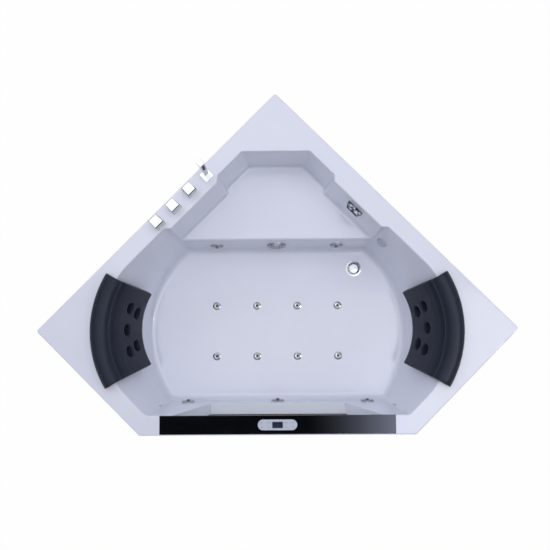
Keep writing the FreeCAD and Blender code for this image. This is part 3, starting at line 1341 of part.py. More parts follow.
wide, waist, tall = dims.blower_radius, dims.blower_waist, dims.blower_height
blower = turned("blower", [
    (0, 0), (wide, 0), (wide, dims.blower_flange), (waist, dims.blower_flange * 2),
    (waist, tall / 3 - dims.wall), (wide, tall / 3), (wide, tall * 2 / 3), (wide / 2, tall), (0, tall)])
place(blower, dims.air_trunk_x, dims.blower_y, rail_top)
outlet = rod("blower_outlet", dims.air_pipe_radius + dims.frame_wall, wide + dims.air_pipe_radius)
forwards = FreeCAD.Rotation(Vector(0, 0, 1), Vector(0, -1, 0))
place(outlet, dims.air_trunk_x, dims.blower_y, air_pipe_level, forwards)
node(fused("blower_parts", [blower, outlet]), "air_blower")

box = new_body("box")
case = outline(box, "box_outline", rectangle(0, dims.box_width, 0, dims.box_length))
pad(box, "box_case", case, dims.box_height)
round_edges(box, "box_edges", dims.wall, lambda edge: upright(edge) or level(edge, dims.box_height))
place(box, *square_spot(inset + tube, side - inset - dims.box_length), rail_top + dims.box_lift, spun(45))
node(box, "control_box")


# Check every object, then write each sub-part

doc.recompute()
faulty = [thing.Name for thing in doc.Objects if "Invalid" in thing.State or "Error" in thing.State]
faulty += [thing.Label for thing in nodes if thing.Shape.isNull() or not thing.Shape.isValid()]
if faulty:
    raise RuntimeError("faulty objects: " + ", ".join(faulty))
os.makedirs("parts", exist_ok=True)
for thing in nodes:
    thing.Shape.exportStep("parts/" + thing.Label + ".step")
print(len(nodes), "sub-parts written")
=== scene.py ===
# Corner bath with water and air jets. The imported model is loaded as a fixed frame, and its pieces are
# dressed, or modelled anew where they are soft or finely detailed, in the order in which it is put together.

import math

import bpy
from mathutils import Matrix, Vector


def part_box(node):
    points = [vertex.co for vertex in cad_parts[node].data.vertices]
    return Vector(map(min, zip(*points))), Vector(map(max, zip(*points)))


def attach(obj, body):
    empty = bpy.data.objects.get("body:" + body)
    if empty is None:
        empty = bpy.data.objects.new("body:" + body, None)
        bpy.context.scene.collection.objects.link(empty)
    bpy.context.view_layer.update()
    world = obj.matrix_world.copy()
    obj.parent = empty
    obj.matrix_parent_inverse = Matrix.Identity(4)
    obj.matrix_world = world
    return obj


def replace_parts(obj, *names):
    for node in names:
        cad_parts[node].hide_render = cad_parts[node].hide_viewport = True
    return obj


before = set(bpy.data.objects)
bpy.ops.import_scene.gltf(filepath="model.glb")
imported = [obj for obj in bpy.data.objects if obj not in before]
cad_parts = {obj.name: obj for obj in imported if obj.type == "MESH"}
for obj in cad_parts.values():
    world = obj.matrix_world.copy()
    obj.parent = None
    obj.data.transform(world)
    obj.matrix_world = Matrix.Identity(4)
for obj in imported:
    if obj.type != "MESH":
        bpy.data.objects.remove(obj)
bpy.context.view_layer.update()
bpy.context.scene.view_settings.view_transform = "Standard"


# Steel frame and levelling feet
# Square steel tube, sawn to length, welded at the corners and hot-dip galvanised.
# The feet are turned studs on wide pads, locked under the rails by hexagon nuts.

def tone(red, green, blue):
    """A colour as it looks on a screen, 0 to 255, turned into what a shader takes."""
    parts = [part / 255 for part in (red, green, blue)]
    linear = [part / 12.92 if part <= 0.04045 else ((part + 0.055) / 1.055) ** 2.4 for part in parts]
    return (*linear, 1.0)


def build_mottle():
    """A soft cloudy mottle over the surface, and a bump that goes with it."""
    group = bpy.data.node_groups.new("surface_mottle", "ShaderNodeTree")
    for label, value in (("Scale", 40.0), ("Detail", 4.0), ("Depth", 0.0001)):
        socket = group.interface.new_socket(label, in_out="INPUT", socket_type="NodeSocketFloat")
        socket.default_value = value
    group.interface.new_socket("Shade", in_out="OUTPUT", socket_type="NodeSocketFloat")
    group.interface.new_socket("Normal", in_out="OUTPUT", socket_type="NodeSocketVector")
    nodes, links = group.nodes, group.links
    given = nodes.new("NodeGroupInput")
    result = nodes.new("NodeGroupOutput")
    position = nodes.new("ShaderNodeTexCoord")
    noise = nodes.new("ShaderNodeTexNoise")
    bump = nodes.new("ShaderNodeBump")
    links.new(position.outputs["Object"], noise.inputs["Vector"])
    links.new(given.outputs["Scale"], noise.inputs["Scale"])
    links.new(given.outputs["Detail"], noise.inputs["Detail"])
    links.new(noise.outputs["Fac"], bump.inputs["Height"])
    links.new(given.outputs["Depth"], bump.inputs["Distance"])
    links.new(noise.outputs["Fac"], result.inputs["Shade"])
    links.new(bump.outputs["Normal"], result.inputs["Normal"])
    return group


mottle_group = build_mottle()


def paint(name, dark, light, smooth, rough, scale, depth, metal=0.0):
    """A finish whose colour and roughness drift between two values over a mottle of this scale and depth."""
    material = bpy.data.materials.new(name)
    material.use_nodes = True
    nodes, links = material.node_tree.nodes, material.node_tree.links
    shader = nodes["Principled BSDF"]
    shader.inputs["Metallic"].default_value = metal
    mottle = nodes.new("ShaderNodeGroup")
    mottle.name = "mottle"
    mottle.node_tree = mottle_group
    mottle.inputs["Scale"].default_value = scale
    mottle.inputs["Depth"].default_value = depth
    colour = nodes.new("ShaderNodeMix")
    colour.name = "colour"
    colour.data_type = "RGBA"
    colour.inputs[6].default_value = dark
    colour.inputs[7].default_value = light
    gloss = nodes.new("ShaderNodeMapRange")
    gloss.name = "gloss"
    gloss.inputs["From Min"].default_value = 0.3
    gloss.inputs["From Max"].default_value = 0.7
    gloss.inputs["To Min"].default_value = smooth
    gloss.inputs["To Max"].default_value = rough
    links.new(mottle.outputs["Shade"], colour.inputs[0])
    links.new(mottle.outputs["Shade"], gloss.inputs["Value"])
    links.new(colour.outputs[2], shader.inputs["Base Color"])
    links.new(gloss.outputs["Result"], shader.inputs["Roughness"])
    links.new(mottle.outputs["Normal"], shader.inputs["Normal"])
    return material


def dress(material, *names):
    """Give these nodes of the frame the material, in every slot that they have."""
    for name in names:
        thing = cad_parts[name]
        if not thing.material_slots:
            thing.data.materials.append(material)
        for slot in thing.material_slots:
            slot.material = material


def clear():
    """Leave edit mode and let go of every piece."""
    if bpy.context.mode != "OBJECT":
        bpy.ops.object.mode_set(mode="OBJECT")
    bpy.ops.object.select_all(action="DESELECT")


def named(name):
    """Give the piece in hand and its mesh this name."""
    piece = bpy.context.object
    piece.name = name
    piece.data.name = name
    return piece


def pick(piece, wanted):
    """Enter edit mode with only those faces selected that the test wants."""
    bpy.ops.object.mode_set(mode="EDIT")
    bpy.ops.mesh.select_mode(type="FACE")
    bpy.ops.mesh.select_all(action="DESELECT")
    bpy.ops.object.mode_set(mode="OBJECT")
    for face in piece.data.polygons:
        face.select = wanted(face)
    bpy.ops.object.mode_set(mode="EDIT")


def take(piece):
    """Make this the one piece that the next operators work on."""
    clear()
    piece.select_set(True)
    bpy.context.view_layer.objects.active = piece


weld_distance = 0.00001


def soften(piece, width):
    """Break the sharp edges of a piece, and weld what the bevel leaves without any size."""
    take(piece)
    bevel = piece.modifiers.new("edges", "BEVEL")
    bevel.width = width
    bevel.segments = 2
    bevel.limit_method = "ANGLE"
    bevel.angle_limit = math.radians(35)
    bpy.ops.object.modifier_apply(modifier="edges")
    bpy.ops.object.mode_set(mode="EDIT")
    bpy.ops.mesh.select_all(action="SELECT")
    bpy.ops.mesh.remove_doubles(threshold=weld_distance)
    bpy.ops.mesh.dissolve_degenerate(threshold=weld_distance)
    clear()


layout_line = 0.278943


def at(x, y, z, axis=(0, 0, 1), turn=0.0):
    """A place in millimetres from the line between the side corners, with a piece's Z along the axis."""
    spot = Matrix.Translation((x / 1000, y / 1000 - layout_line, z / 1000))
    lean = Vector((0, 0, 1)).rotation_difference(Vector(axis)).to_matrix().to_4x4()
    return spot @ lean @ Matrix.Rotation(math.radians(turn), 4, "Z")


def spread(piece, places):
    """Copy a modelled piece to each place, every copy with its own mesh, and join the copies."""
    name = piece.name
    copies = []
    for place in places:
        copy = piece.copy()
        copy.data = piece.data.copy()
        bpy.context.collection.objects.link(copy)
        copy.matrix_world = place
        copies.append(copy)
    bpy.data.objects.remove(piece)
    clear()
    for copy in copies:
        copy.select_set(True)
    bpy.context.view_layer.objects.active = copies[0]
    bpy.context.view_layer.update()
    if len(copies) > 1:
        bpy.ops.object.join()
    bpy.ops.object.transform_apply(location=True, rotation=True, scale=True)
    return named(name)


def finish(piece, material, body="bath", angle=30):
    """Smooth a modelled piece, give it its finish and fix it to the body that carries it."""
    take(piece)
    bpy.ops.object.shade_smooth_by_angle(angle=math.radians(angle))
    piece.data.materials.clear()
    piece.data.materials.append(material)
    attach(piece, body)


galvanised = paint("galvanised_steel", tone(150, 153, 158), tone(196, 199, 203),
                   smooth=0.28, rough=0.5, scale=90, depth=0.0001, metal=1.0)
nodes, links = galvanised.node_tree.nodes, galvanised.node_tree.links
spangle_place = nodes.new("ShaderNodeTexCoord")
spangle = nodes.new("ShaderNodeTexVoronoi")
spangle.inputs["Scale"].default_value = 140
links.new(spangle_place.outputs["Object"], spangle.inputs["Vector"])
spangle_grey = nodes.new("ShaderNodeRGBToBW")
links.new(spangle.outputs["Color"], spangle_grey.inputs["Color"])
links.new(spangle_grey.outputs["Val"], nodes["colour"].inputs[0])
dress(galvanised, "steel_frame", "levelling_feet")

bead_radius = 0.0024
bead_pitch = 0.0036
clear()
bpy.ops.mesh.primitive_uv_sphere_add(segments=10, ring_count=6, radius=bead_radius)
bead = named("weld_beads")
bpy.ops.object.mode_set(mode="EDIT")
bpy.ops.transform.resize(value=(1.0, 1.0, 0.7))
bpy.ops.transform.translate(value=(0, 0, bead_radius))
for step in range(5):
    bpy.ops.mesh.duplicate()
    bpy.ops.transform.translate(value=(0, 0, bead_pitch))
clear()
square_reach = 1400 / math.sqrt(2)


def square(right, left, z):
    """A place given along the two sides of the square that the bath is cut from."""
    return at((right - left) / math.sqrt(2), (right + left) / math.sqrt(2) - square_reach, z)


corner_welds = [(45, 1330), (70, 1330), (1330, 45), (1330, 70), (1330, 1330), (1355, 1330)]
weld_level = 71.5
weld_places = [square(right, left, weld_level) for right, left in corner_welds]
weld_places += [at(x, y, weld_level) for x in (-519.1, 519.1) for y in (-382.1, -357.1)]
finish(spread(bead, weld_places), galvanised, angle=60)


# Pump set
# An aluminium motor with cooling ribs is bolted to two rails of the frame. Its moulded volute takes water
# from the suction pipe and feeds the pressure pipes. Cowl, terminal box and bolts are added here.

motor_paint = paint("motor_paint", tone(120, 126, 134), tone(150, 155, 162),
                    smooth=0.35, rough=0.55, scale=220, depth=0.00012, metal=0.6)
dress(motor_paint, "pump_motor")
moulded_black = paint("moulded_black", tone(26, 27, 30), tone(44, 45, 49),
                      smooth=0.38, rough=0.6, scale=500, depth=0.00012)
dress(moulded_black, "pump_volute", "air_blower")
steel_dark, steel_light = tone(150, 152, 156), tone(190, 192, 196)
machined_steel = paint("machined_steel", steel_dark, steel_light,
                       smooth=0.2, rough=0.38, scale=300, depth=0.00004, metal=1.0)
dress(machined_steel, "pump_rotor")

pump_line, pump_level = 580, 175
cowl_middle, cowl_radius, cowl_depth = 164.2, 0.059, 0.024
clear()
bpy.ops.mesh.primitive_cylinder_add(vertices=36, radius=cowl_radius, depth=cowl_depth)
cowl = named("motor_fan_cowl")
pick(cowl, lambda face: abs(face.normal.z) < 0.5)
bpy.ops.mesh.inset(thickness=0.0024, use_individual=True)
bpy.ops.transform.resize(value=(0.955, 0.955, 1.0))
bpy.ops.object.mode_set(mode="OBJECT")
pick(cowl, lambda face: face.normal.z > 0.9)
for ring in range(4):
    bpy.ops.mesh.inset(thickness=0.006)
    bpy.ops.mesh.inset(thickness=0.0004, depth=-0.004)
    bpy.ops.mesh.inset(thickness=0.004)
    bpy.ops.mesh.inset(thickness=0.0004, depth=0.004)
clear()
finish(spread(cowl, [at(cowl_middle, pump_line, pump_level, (1, 0, 0))]), moulded_black)

clear()
bpy.ops.mesh.primitive_cube_add(size=1.0, scale=(0.074, 0.052, 0.03))
terminals = named("motor_terminal_box")
bpy.ops.object.transform_apply(scale=True)
pick(terminals, lambda face: face.normal.z > 0.9)
bpy.ops.mesh.inset(thickness=0.0016, depth=-0.0012)
bpy.ops.mesh.inset(thickness=0.0006, depth=0.0042)
soften(terminals, 0.0014)
terminal_middle, terminal_level = 57, 254
terminal_place = at(terminal_middle, pump_line, terminal_level)
finish(spread(terminals, [terminal_place]), moulded_black)

clear()
bpy.ops.mesh.primitive_cylinder_add(vertices=6, radius=0.0058, depth=0.0045, location=(0, 0, 0.0036))
bolt = named("pump_bolts")
bpy.ops.object.transform_apply(location=True)
pick(bolt, lambda face: face.normal.z > 0.9)
bpy.ops.mesh.inset(thickness=0.0009, depth=0.0006)
bpy.ops.mesh.select_all(action="DESELECT")
bpy.ops.mesh.primitive_cylinder_add(vertices=20, radius=0.0082, depth=0.0016, location=(0, 0, 0.0008))
clear()
volute_circle, volute_face = 51, -110
foot_level, lid_level = 101, 271.6
bolt_places = []
for step in range(8):
    turn = math.radians(45 * step + 22.5)
    y = pump_line + volute_circle * math.cos(turn)
    z = pump_level + volute_circle * math.sin(turn)
    bolt_places.append(at(volute_face, y, z, (-1, 0, 0), 15 * step))
bolt_places += [at(x, pump_line + y, foot_level, turn=12) for x in (12, 102) for y in (-60, 60)]
for x in (28, 86):
    for y in (-18, 18):
        bolt_places.append(at(x, pump_line + y, lid_level) @ Matrix.Scale(0.45, 4))
finish(spread(bolt, bolt_places), machined_steel)


# Water, suction and air pipes
# White pressure pipe, solvent-welded, with ribbed union nuts where it can be taken off the pump and the
# blower. Two strap clips hold the front run to the frame, and a braided hose feeds the spout.

pipe_white = paint("white_pipe", tone(214, 213, 208), tone(228, 228, 224),
                   smooth=0.26, rough=0.42, scale=120, depth=0.00008)
dress(pipe_white, "water_pipes", "suction_pipe", "air_pipe", "jet_bodies", "jet_nuts", "suction_body",
      "air_jet_bodies")

clear()
bpy.ops.mesh.primitive_cylinder_add(vertices=28, radius=1.0, depth=1.0)
union = named("union_nuts")
pick(union, lambda face: abs(face.normal.z) < 0.5)
bpy.ops.mesh.inset(thickness=0.055, use_individual=True)
bpy.ops.transform.resize(value=(0.93, 0.93, 1.0))
bpy.ops.object.mode_set(mode="OBJECT")
pick(union, lambda face: abs(face.normal.z) > 0.9)
bpy.ops.mesh.inset(thickness=0.08, depth=0.06)
clear()
union_sizes = ((-120, pump_line, pump_level, (1, 0, 0), 26, 19), (-74, 612, 254, (0, 0, 1), 23, 24),
               (-240, 450, 158, (0, 1, 0), 19, 20))
union_places = []
for x, y, z, axis, radius, length in union_sizes:
    stretch = Matrix.Diagonal((radius / 1000, radius / 1000, length / 1000, 1.0))
    union_places.append(at(x, y, z, axis) @ stretch)
finish(spread(union, union_places), moulded_black)

clear()
bpy.ops.mesh.primitive_cylinder_add(vertices=40, radius=0.0152, depth=0.016, end_fill_type="NOTHING")
clip = named("pipe_clips")
wall = clip.modifiers.new("wall", "SOLIDIFY")
wall.thickness = 0.002
wall.offset = 1.0
bpy.ops.object.modifier_apply(modifier="wall")
bpy.ops.object.mode_set(mode="EDIT")
bpy.ops.mesh.select_all(action="DESELECT")
bpy.ops.mesh.primitive_cube_add(size=1.0, location=(0.0225, 0, 0), scale=(0.0118, 0.022, 0.016))
soften(clip, 0.0008)
strap_turn = Matrix.Rotation(math.radians(90), 4, "Y")
front_pipe_line, front_pipe_level = -369.4, 125.1
clip_places = [at(x, front_pipe_line, front_pipe_level) @ strap_turn for x in (-210, 210)]
finish(spread(clip, clip_places), moulded_black)

braid = paint("braided_hose", tone(120, 122, 126), tone(190, 192, 196),
              smooth=0.25, rough=0.45, scale=700, depth=0.00005, metal=1.0)
nodes, links = braid.node_tree.nodes, braid.node_tree.links
braid_place = nodes.new("ShaderNodeTexCoord")
strands = []
for turn in (45, -45):
    slant = nodes.new("ShaderNodeMapping")
    slant.inputs["Rotation"].default_value = (math.radians(turn), math.radians(35), math.radians(turn))
    wave = nodes.new("ShaderNodeTexWave")
    wave.inputs["Scale"].default_value = 130
    links.new(braid_place.outputs["Object"], slant.inputs["Vector"])
    links.new(slant.outputs["Vector"], wave.inputs["Vector"])
    strands.append(wave)
weave = nodes.new("ShaderNodeMath")
weave.operation = "MAXIMUM"
links.new(strands[0].outputs["Fac"], weave.inputs[0])
links.new(strands[1].outputs["Fac"], weave.inputs[1])
weave_bump = nodes.new("ShaderNodeBump")
weave_bump.inputs["Distance"].default_value = 0.0006
links.new(weave.outputs["Value"], weave_bump.inputs["Height"])
links.new(weave.outputs["Value"], nodes["colour"].inputs[0])
links.new(weave_bump.outputs["Normal"], nodes["Principled BSDF"].inputs["Normal"])
dress(braid, "filler_pipe")


# Air blower and control box
# The blower is a moulded case on the front pump rail, clamped by a steel band with a lug. The control box is
# a grey moulded case on the left post with a screwed lid.

clear()
bpy.ops.mesh.primitive_cylinder_add(vertices=64, radius=0.0494, depth=0.011, end_fill_type="NOTHING")
band = named("blower_band")
wall = band.modifiers.new("wall", "SOLIDIFY")
wall.thickness = 0.0014
wall.offset = 1.0
bpy.ops.object.modifier_apply(modifier="wall")
bpy.ops.object.mode_set(mode="EDIT")
bpy.ops.mesh.select_all(action="DESELECT")
bpy.ops.mesh.primitive_cube_add(size=1.0, location=(-0.0535, 0, 0), scale=(0.008, 0.016, 0.011))
soften(band, 0.0006)
band_place = at(-240, 520, 115, turn=-35)
finish(spread(band, [band_place]), galvanised)

grey_moulding = paint("grey_moulding", tone(166, 168, 171), tone(182, 184, 187),
                      smooth=0.36, rough=0.52, scale=420, depth=0.0001)
dress(grey_moulding, "control_box", "drain_elbow")

clear()
bpy.ops.mesh.primitive_cube_add(size=1.0, scale=(0.17, 0.07, 0.005))
lid = named("control_box_lid")
bpy.ops.object.transform_apply(scale=True)
pick(lid, lambda face: face.normal.z > 0.9)
bpy.ops.mesh.inset(thickness=0.009, depth=0.0)
bpy.ops.mesh.inset(thickness=0.0012, depth=-0.0012)
soften(lid, 0.0012)
diagonal = 1 / math.sqrt(2)
lid_turn = Matrix(((0, -diagonal, -diagonal), (0, -diagonal, diagonal), (-1, 0, 0))).to_4x4()
lid_stand = 0.0026
lid_place = at(-880.2, 46.0, 390) @ lid_turn @ Matrix.Translation((0, 0, lid_stand))
finish(spread(lid, [lid_place]), grey_moulding)

clear()
bpy.ops.mesh.primitive_cylinder_add(vertices=24, radius=0.0034, depth=0.0016, location=(0, 0, 0.0004))
screw = named("control_box_screws")
bpy.ops.object.transform_apply(location=True)
pick(screw, lambda face: face.normal.z > 0.9)
bpy.ops.mesh.inset(thickness=0.0006, depth=0.0005)
bpy.ops.mesh.inset(thickness=0.0011)
bpy.ops.mesh.extrude_region_move(TRANSFORM_OT_translate={"value": (0, 0, -0.001)})
clear()
screw_level = 0.0022
screw_places = []
for x in (-0.0805, 0.0805):
    for y in (-0.0305, 0.0305):
        screw_places.append(lid_place @ Matrix.Translation((x, y, screw_level)))
finish(spread(screw, screw_places), machined_steel)


# Shell
# One acrylic sheet, heated and drawn into a mould, then backed with chopped glass fibre and resin underneath.
# The bathing side is a glossy cool white; the back of it is matt, fibrous and a little yellow.

acrylic_light = tone(233, 235, 246)
acrylic_dark = tone(229, 231, 243)
shell_acrylic = paint("shell_acrylic", acrylic_dark, acrylic_light,
                      smooth=0.1, rough=0.17, scale=6, depth=0.00002)
nodes, links = shell_acrylic.node_tree.nodes, shell_acrylic.node_tree.links
shader = nodes["Principled BSDF"]
shell_place = nodes.new("ShaderNodeTexCoord")
from_middle = nodes.new("ShaderNodeVectorMath")
from_middle.operation = "SUBTRACT"
from_middle.inputs[1].default_value = (0, -layout_line, 0)
flat = nodes.new("ShaderNodeVectorMath")
flat.operation = "MULTIPLY"
flat.inputs[1].default_value = (1, 1, 0)
outwards = nodes.new("ShaderNodeVectorMath")
outwards.operation = "NORMALIZE"
facing_out = nodes.new("ShaderNodeVectorMath")
facing_out.operation = "DOT_PRODUCT"
links.new(shell_place.outputs["Object"], from_middle.inputs[0])
links.new(from_middle.outputs["Vector"], flat.inputs[0])
links.new(flat.outputs["Vector"], outwards.inputs[0])
links.new(outwards.outputs["Vector"], facing_out.inputs[0])
links.new(shell_place.outputs["Normal"], facing_out.inputs[1])
height = nodes.new("ShaderNodeSeparateXYZ")
lean = nodes.new("ShaderNodeSeparateXYZ")
links.new(shell_place.outputs["Object"], height.inputs[0])
links.new(shell_place.outputs["Normal"], lean.inputs[0])


def compare(operation, source, limit):
    """Weigh a value of the shell's finish against a limit, or against another value."""
    node = nodes.new("ShaderNodeMath")
    node.operation = operation
    links.new(source, node.inputs[0])
    if isinstance(limit, float):
        node.inputs[1].default_value = limit
    else:
        links.new(limit, node.inputs[1])
    return node.outputs["Value"]


lip_bottom = 0.604
outer_wall = compare("GREATER_THAN", facing_out.outputs["Value"], 0.2)
under_lip = compare("LESS_THAN", height.outputs["Z"], lip_bottom)
underside = compare("LESS_THAN", lean.outputs["Z"], -0.4)
backing = compare("MAXIMUM", compare("MULTIPLY", outer_wall, under_lip), underside)
fibre_stretch = nodes.new("ShaderNodeMapping")
fibre_stretch.inputs["Scale"].default_value = (1.0, 3.0, 2.0)
fibres = nodes.new("ShaderNodeTexNoise")
fibres.inputs["Scale"].default_value = 130
fibres.inputs["Detail"].default_value = 6
fibres.inputs["Distortion"].default_value = 3.0
links.new(shell_place.outputs["Object"], fibre_stretch.inputs["Vector"])
links.new(fibre_stretch.outputs["Vector"], fibres.inputs["Vector"])
resin = nodes.new("ShaderNodeMix")
resin.data_type = "RGBA"
resin.inputs[6].default_value = tone(168, 160, 138)
resin.inputs[7].default_value = tone(214, 210, 194)
links.new(fibres.outputs["Fac"], resin.inputs[0])
skin = nodes.new("ShaderNodeMix")
skin.data_type = "RGBA"
links.new(backing, skin.inputs[0])
links.new(nodes["colour"].outputs[2], skin.inputs[6])
links.new(resin.outputs[2], skin.inputs[7])
links.new(skin.outputs[2], shader.inputs["Base Color"])
dull = nodes.new("ShaderNodeMix")
dull.inputs[3].default_value = 0.62
links.new(backing, dull.inputs[0])
links.new(nodes["gloss"].outputs["Result"], dull.inputs[2])
links.new(dull.outputs[0], shader.inputs["Roughness"])
fibre_bump = nodes.new("ShaderNodeBump")
fibre_bump.inputs["Distance"].default_value = 0.0012
links.new(compare("MULTIPLY", fibres.outputs["Fac"], backing), fibre_bump.inputs["Height"])
links.new(nodes["mottle"].outputs["Normal"], fibre_bump.inputs["Normal"])
links.new(fibre_bump.outputs["Normal"], shader.inputs["Normal"])
dress(shell_acrylic, "tub_shell")


# Skirt panels
# Three acrylic panels close the front and the short sides. They tuck up behind the shell's lip, and screws
# through the toe into the rails are hidden under small round caps. A round bead fills each corner joint.

skirt_acrylic = paint("skirt_acrylic", tone(226, 228, 240), tone(231, 233, 244),
                      smooth=0.12, rough=0.2, scale=5, depth=0.00003)
dress(skirt_acrylic, "front_skirt", "left_skirt", "right_skirt")

clear()
bpy.ops.mesh.primitive_cylinder_add(vertices=32, radius=0.0075, depth=0.0016)
cap = named("skirt_caps")
pick(cap, lambda face: face.normal.z > 0.9)
bpy.ops.mesh.inset(thickness=0.0018, depth=0.0008)
bpy.ops.mesh.inset(thickness=0.0022, depth=0.0003)
clear()
skirt_low, skirt_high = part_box("front_skirt")
front_face = skirt_low.y * 1000 + layout_line * 1000
cap_level, cap_stand = 82, 0.6
cap_places = [at(x, front_face - cap_stand, cap_level, (0, -1, 0)) for x in (-470, -160, 160, 470)]
finish(spread(cap, cap_places), skirt_acrylic)

seam_radius, seam_out, seam_back = 0.0027, 2.75, 3
clear()
bpy.ops.mesh.primitive_cylinder_add(vertices=24, radius=seam_radius, depth=skirt_high.z - skirt_low.z)
seam_bead = named("skirt_corner_beads")
soften(seam_bead, 0.0005)
seam_reach = skirt_high.x * 1000 + seam_out
seam_middle = (skirt_low.z + skirt_high.z) * 500
seam_places = [at(x, front_face + seam_back, seam_middle) for x in (-seam_reach, seam_reach)]
finish(spread(seam_bead, seam_places), skirt_acrylic)


# Window in the front wall
# A toughened glass pane in a black rubber channel closes the front of the moulded window tunnel.

pane_glass = paint("window_glass", tone(232, 243, 242), tone(240, 248, 247),
                   smooth=0.0, rough=0.02, scale=4, depth=0.0)
pane_glass.node_tree.nodes["Principled BSDF"].inputs["Transmission Weight"].default_value = 1.0
pane_glass.node_tree.nodes["Principled BSDF"].inputs["IOR"].default_value = 1.5
dress(pane_glass, "front_glass")
seal_rubber = paint("seal_rubber", tone(24, 24, 25), tone(38, 38, 39),
                    smooth=0.6, rough=0.8, scale=260, depth=0.0002)
dress(seal_rubber, "window_seal")


# Black strip and control panel
# A high-gloss black acrylic strip is bonded into a bed in the front deck. A white case is let into it, with a
# tinted display behind a pale border, and eight soft keys whose marks are printed on their tops.

strip_gloss = paint("strip_gloss", tone(10, 12, 15), tone(14, 16, 20),
                    smooth=0.02, rough=0.05, scale=12, depth=0.0)
dress(strip_gloss, "deck_fascia")
case_white = paint("case_white", tone(186, 191, 208), tone(196, 200, 216),
                   smooth=0.25, rough=0.36, scale=160, depth=0.00004)
dress(case_white, "control_bezel")
key_names = ("light_key", "power_key", "fill_key", "heat_key", "air_key", "pump_key", "up_key", "down_key")
key_soft = paint("key_soft", tone(184, 188, 201), tone(196, 200, 212),
                 smooth=0.5, rough=0.62, scale=600, depth=0.00006)
dress(key_soft, *key_names)
display_tint = paint("display_tint", tone(34, 42, 62), tone(48, 58, 80),
                     smooth=0.05, rough=0.1, scale=40, depth=0.0)
dress(display_tint, "display_lens")

display_low, display_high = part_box("display_lens")
trim_gap, trim_border, trim_height, trim_sink = 0.001, 0.0009, 0.0005, 0.0001
clear()
bpy.ops.mesh.primitive_plane_add(size=1.0)
trim = named("display_trim")
trim_length = display_high.x - display_low.x - trim_gap
trim_width = display_high.y - display_low.y - trim_gap
trim.scale = (trim_length, trim_width, 1.0)
bpy.ops.object.transform_apply(scale=True)
pick(trim, lambda face: True)
bpy.ops.mesh.inset(thickness=trim_border)
bpy.ops.mesh.delete(type="FACE")
bpy.ops.mesh.select_all(action="SELECT")
bpy.ops.mesh.extrude_region_move(TRANSFORM_OT_translate={"value": (0, 0, trim_height)})
bpy.ops.mesh.select_all(action="SELECT")
bpy.ops.mesh.normals_make_consistent(inside=False)
soften(trim, 0.00018)
display_middle = (display_low + display_high) / 2
trim_place = Matrix.Translation((display_middle.x, display_middle.y, display_high.z - trim_sink))
finish(spread(trim, [trim_place]), case_white)

mark_ink = paint("mark_ink", tone(88, 94, 112), tone(102, 108, 126),
                 smooth=0.45, rough=0.6, scale=800, depth=0.0)
mark_height = 0.00012


def round_mark(sides, radius, stroke=0):
    """A printed ring or square of this stroke, or a filled dot or triangle if there is none."""
    bpy.ops.mesh.primitive_circle_add(vertices=sides, radius=radius, fill_type="NGON")
    mark = bpy.context.object
    bpy.ops.object.mode_set(mode="EDIT")
    if stroke:
        bpy.ops.mesh.inset(thickness=stroke)
        bpy.ops.mesh.delete(type="FACE")
        bpy.ops.mesh.select_all(action="SELECT")
    return mark


def bar_mark(length, width, x, y):
    """A printed bar, added to the mark in hand."""
    bpy.ops.mesh.primitive_plane_add(size=1.0, location=(x, y, 0))
    bpy.ops.transform.resize(value=(length, width, 1.0), center_override=(x, y, 0))


for key in key_names:
    clear()
    if key in ("up_key", "down_key"):
        mark = round_mark(sides=3, radius=0.0024)
        if key == "down_key":
            bpy.ops.transform.rotate(value=math.pi, orient_axis="Z", center_override=(0, 0, 0))
    elif key == "heat_key":
        mark = round_mark(sides=24, radius=0.0006)
        for step in (-1, 0, 1):
            bar_mark(length=0.0007, width=0.0042, x=step * 0.0019, y=0)
    elif key == "air_key":
        mark = round_mark(sides=20, radius=0.0009)
        for x, y in ((-0.0026, -0.0012), (0.0026, -0.0012), (-0.0013, 0.0016), (0.0013, 0.0016)):
            bpy.ops.mesh.primitive_circle_add(vertices=20, radius=0.0008, fill_type="NGON",
                                              location=(x, y, 0))
    elif key == "power_key":
        mark = round_mark(sides=32, radius=0.0025, stroke=0.0006)
        bar_mark(length=0.0007, width=0.0026, x=0, y=0.0016)
    elif key == "fill_key":
        mark = round_mark(sides=4, radius=0.0024, stroke=0.0005)
        bar_mark(length=0.0032, width=0.0006, x=0, y=-0.0029)
    elif key == "light_key":
        mark = round_mark(sides=28, radius=0.0013)
        for turn in range(4):
            side = math.radians(90 * turn)
            wide, tall = ((0.001, 0.0005), (0.0005, 0.001))[turn % 2]
            bar_mark(length=wide, width=tall, x=0.0025 * math.cos(side), y=0.0025 * math.sin(side))
    else:
        mark = round_mark(sides=32, radius=0.0026, stroke=0.0006)
        bpy.ops.mesh.primitive_circle_add(vertices=20, radius=0.0009, fill_type="NGON")
    bpy.ops.mesh.select_all(action="SELECT")
    bpy.ops.mesh.extrude_region_move(TRANSFORM_OT_translate={"value": (0, 0, mark_height)})
    bpy.ops.mesh.select_all(action="SELECT")
    bpy.ops.mesh.normals_make_consistent(inside=False)
    clear()
    mark.name = key + "_mark"
    key_low, key_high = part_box(key)
    key_middle = (key_low + key_high) / 2
    mark_place = Matrix.Translation((key_middle.x, key_middle.y, key_high.z))
    finish(spread(mark, [mark_place]), mark_ink, key + "_body")


# Head pillows
# Soft integral-skin polyurethane foam, moulded in one piece: a fat roll lies on the deck, and below a deep
# crease a pad with five round holes hangs down the end wall. The skin is black with a fine leather grain.

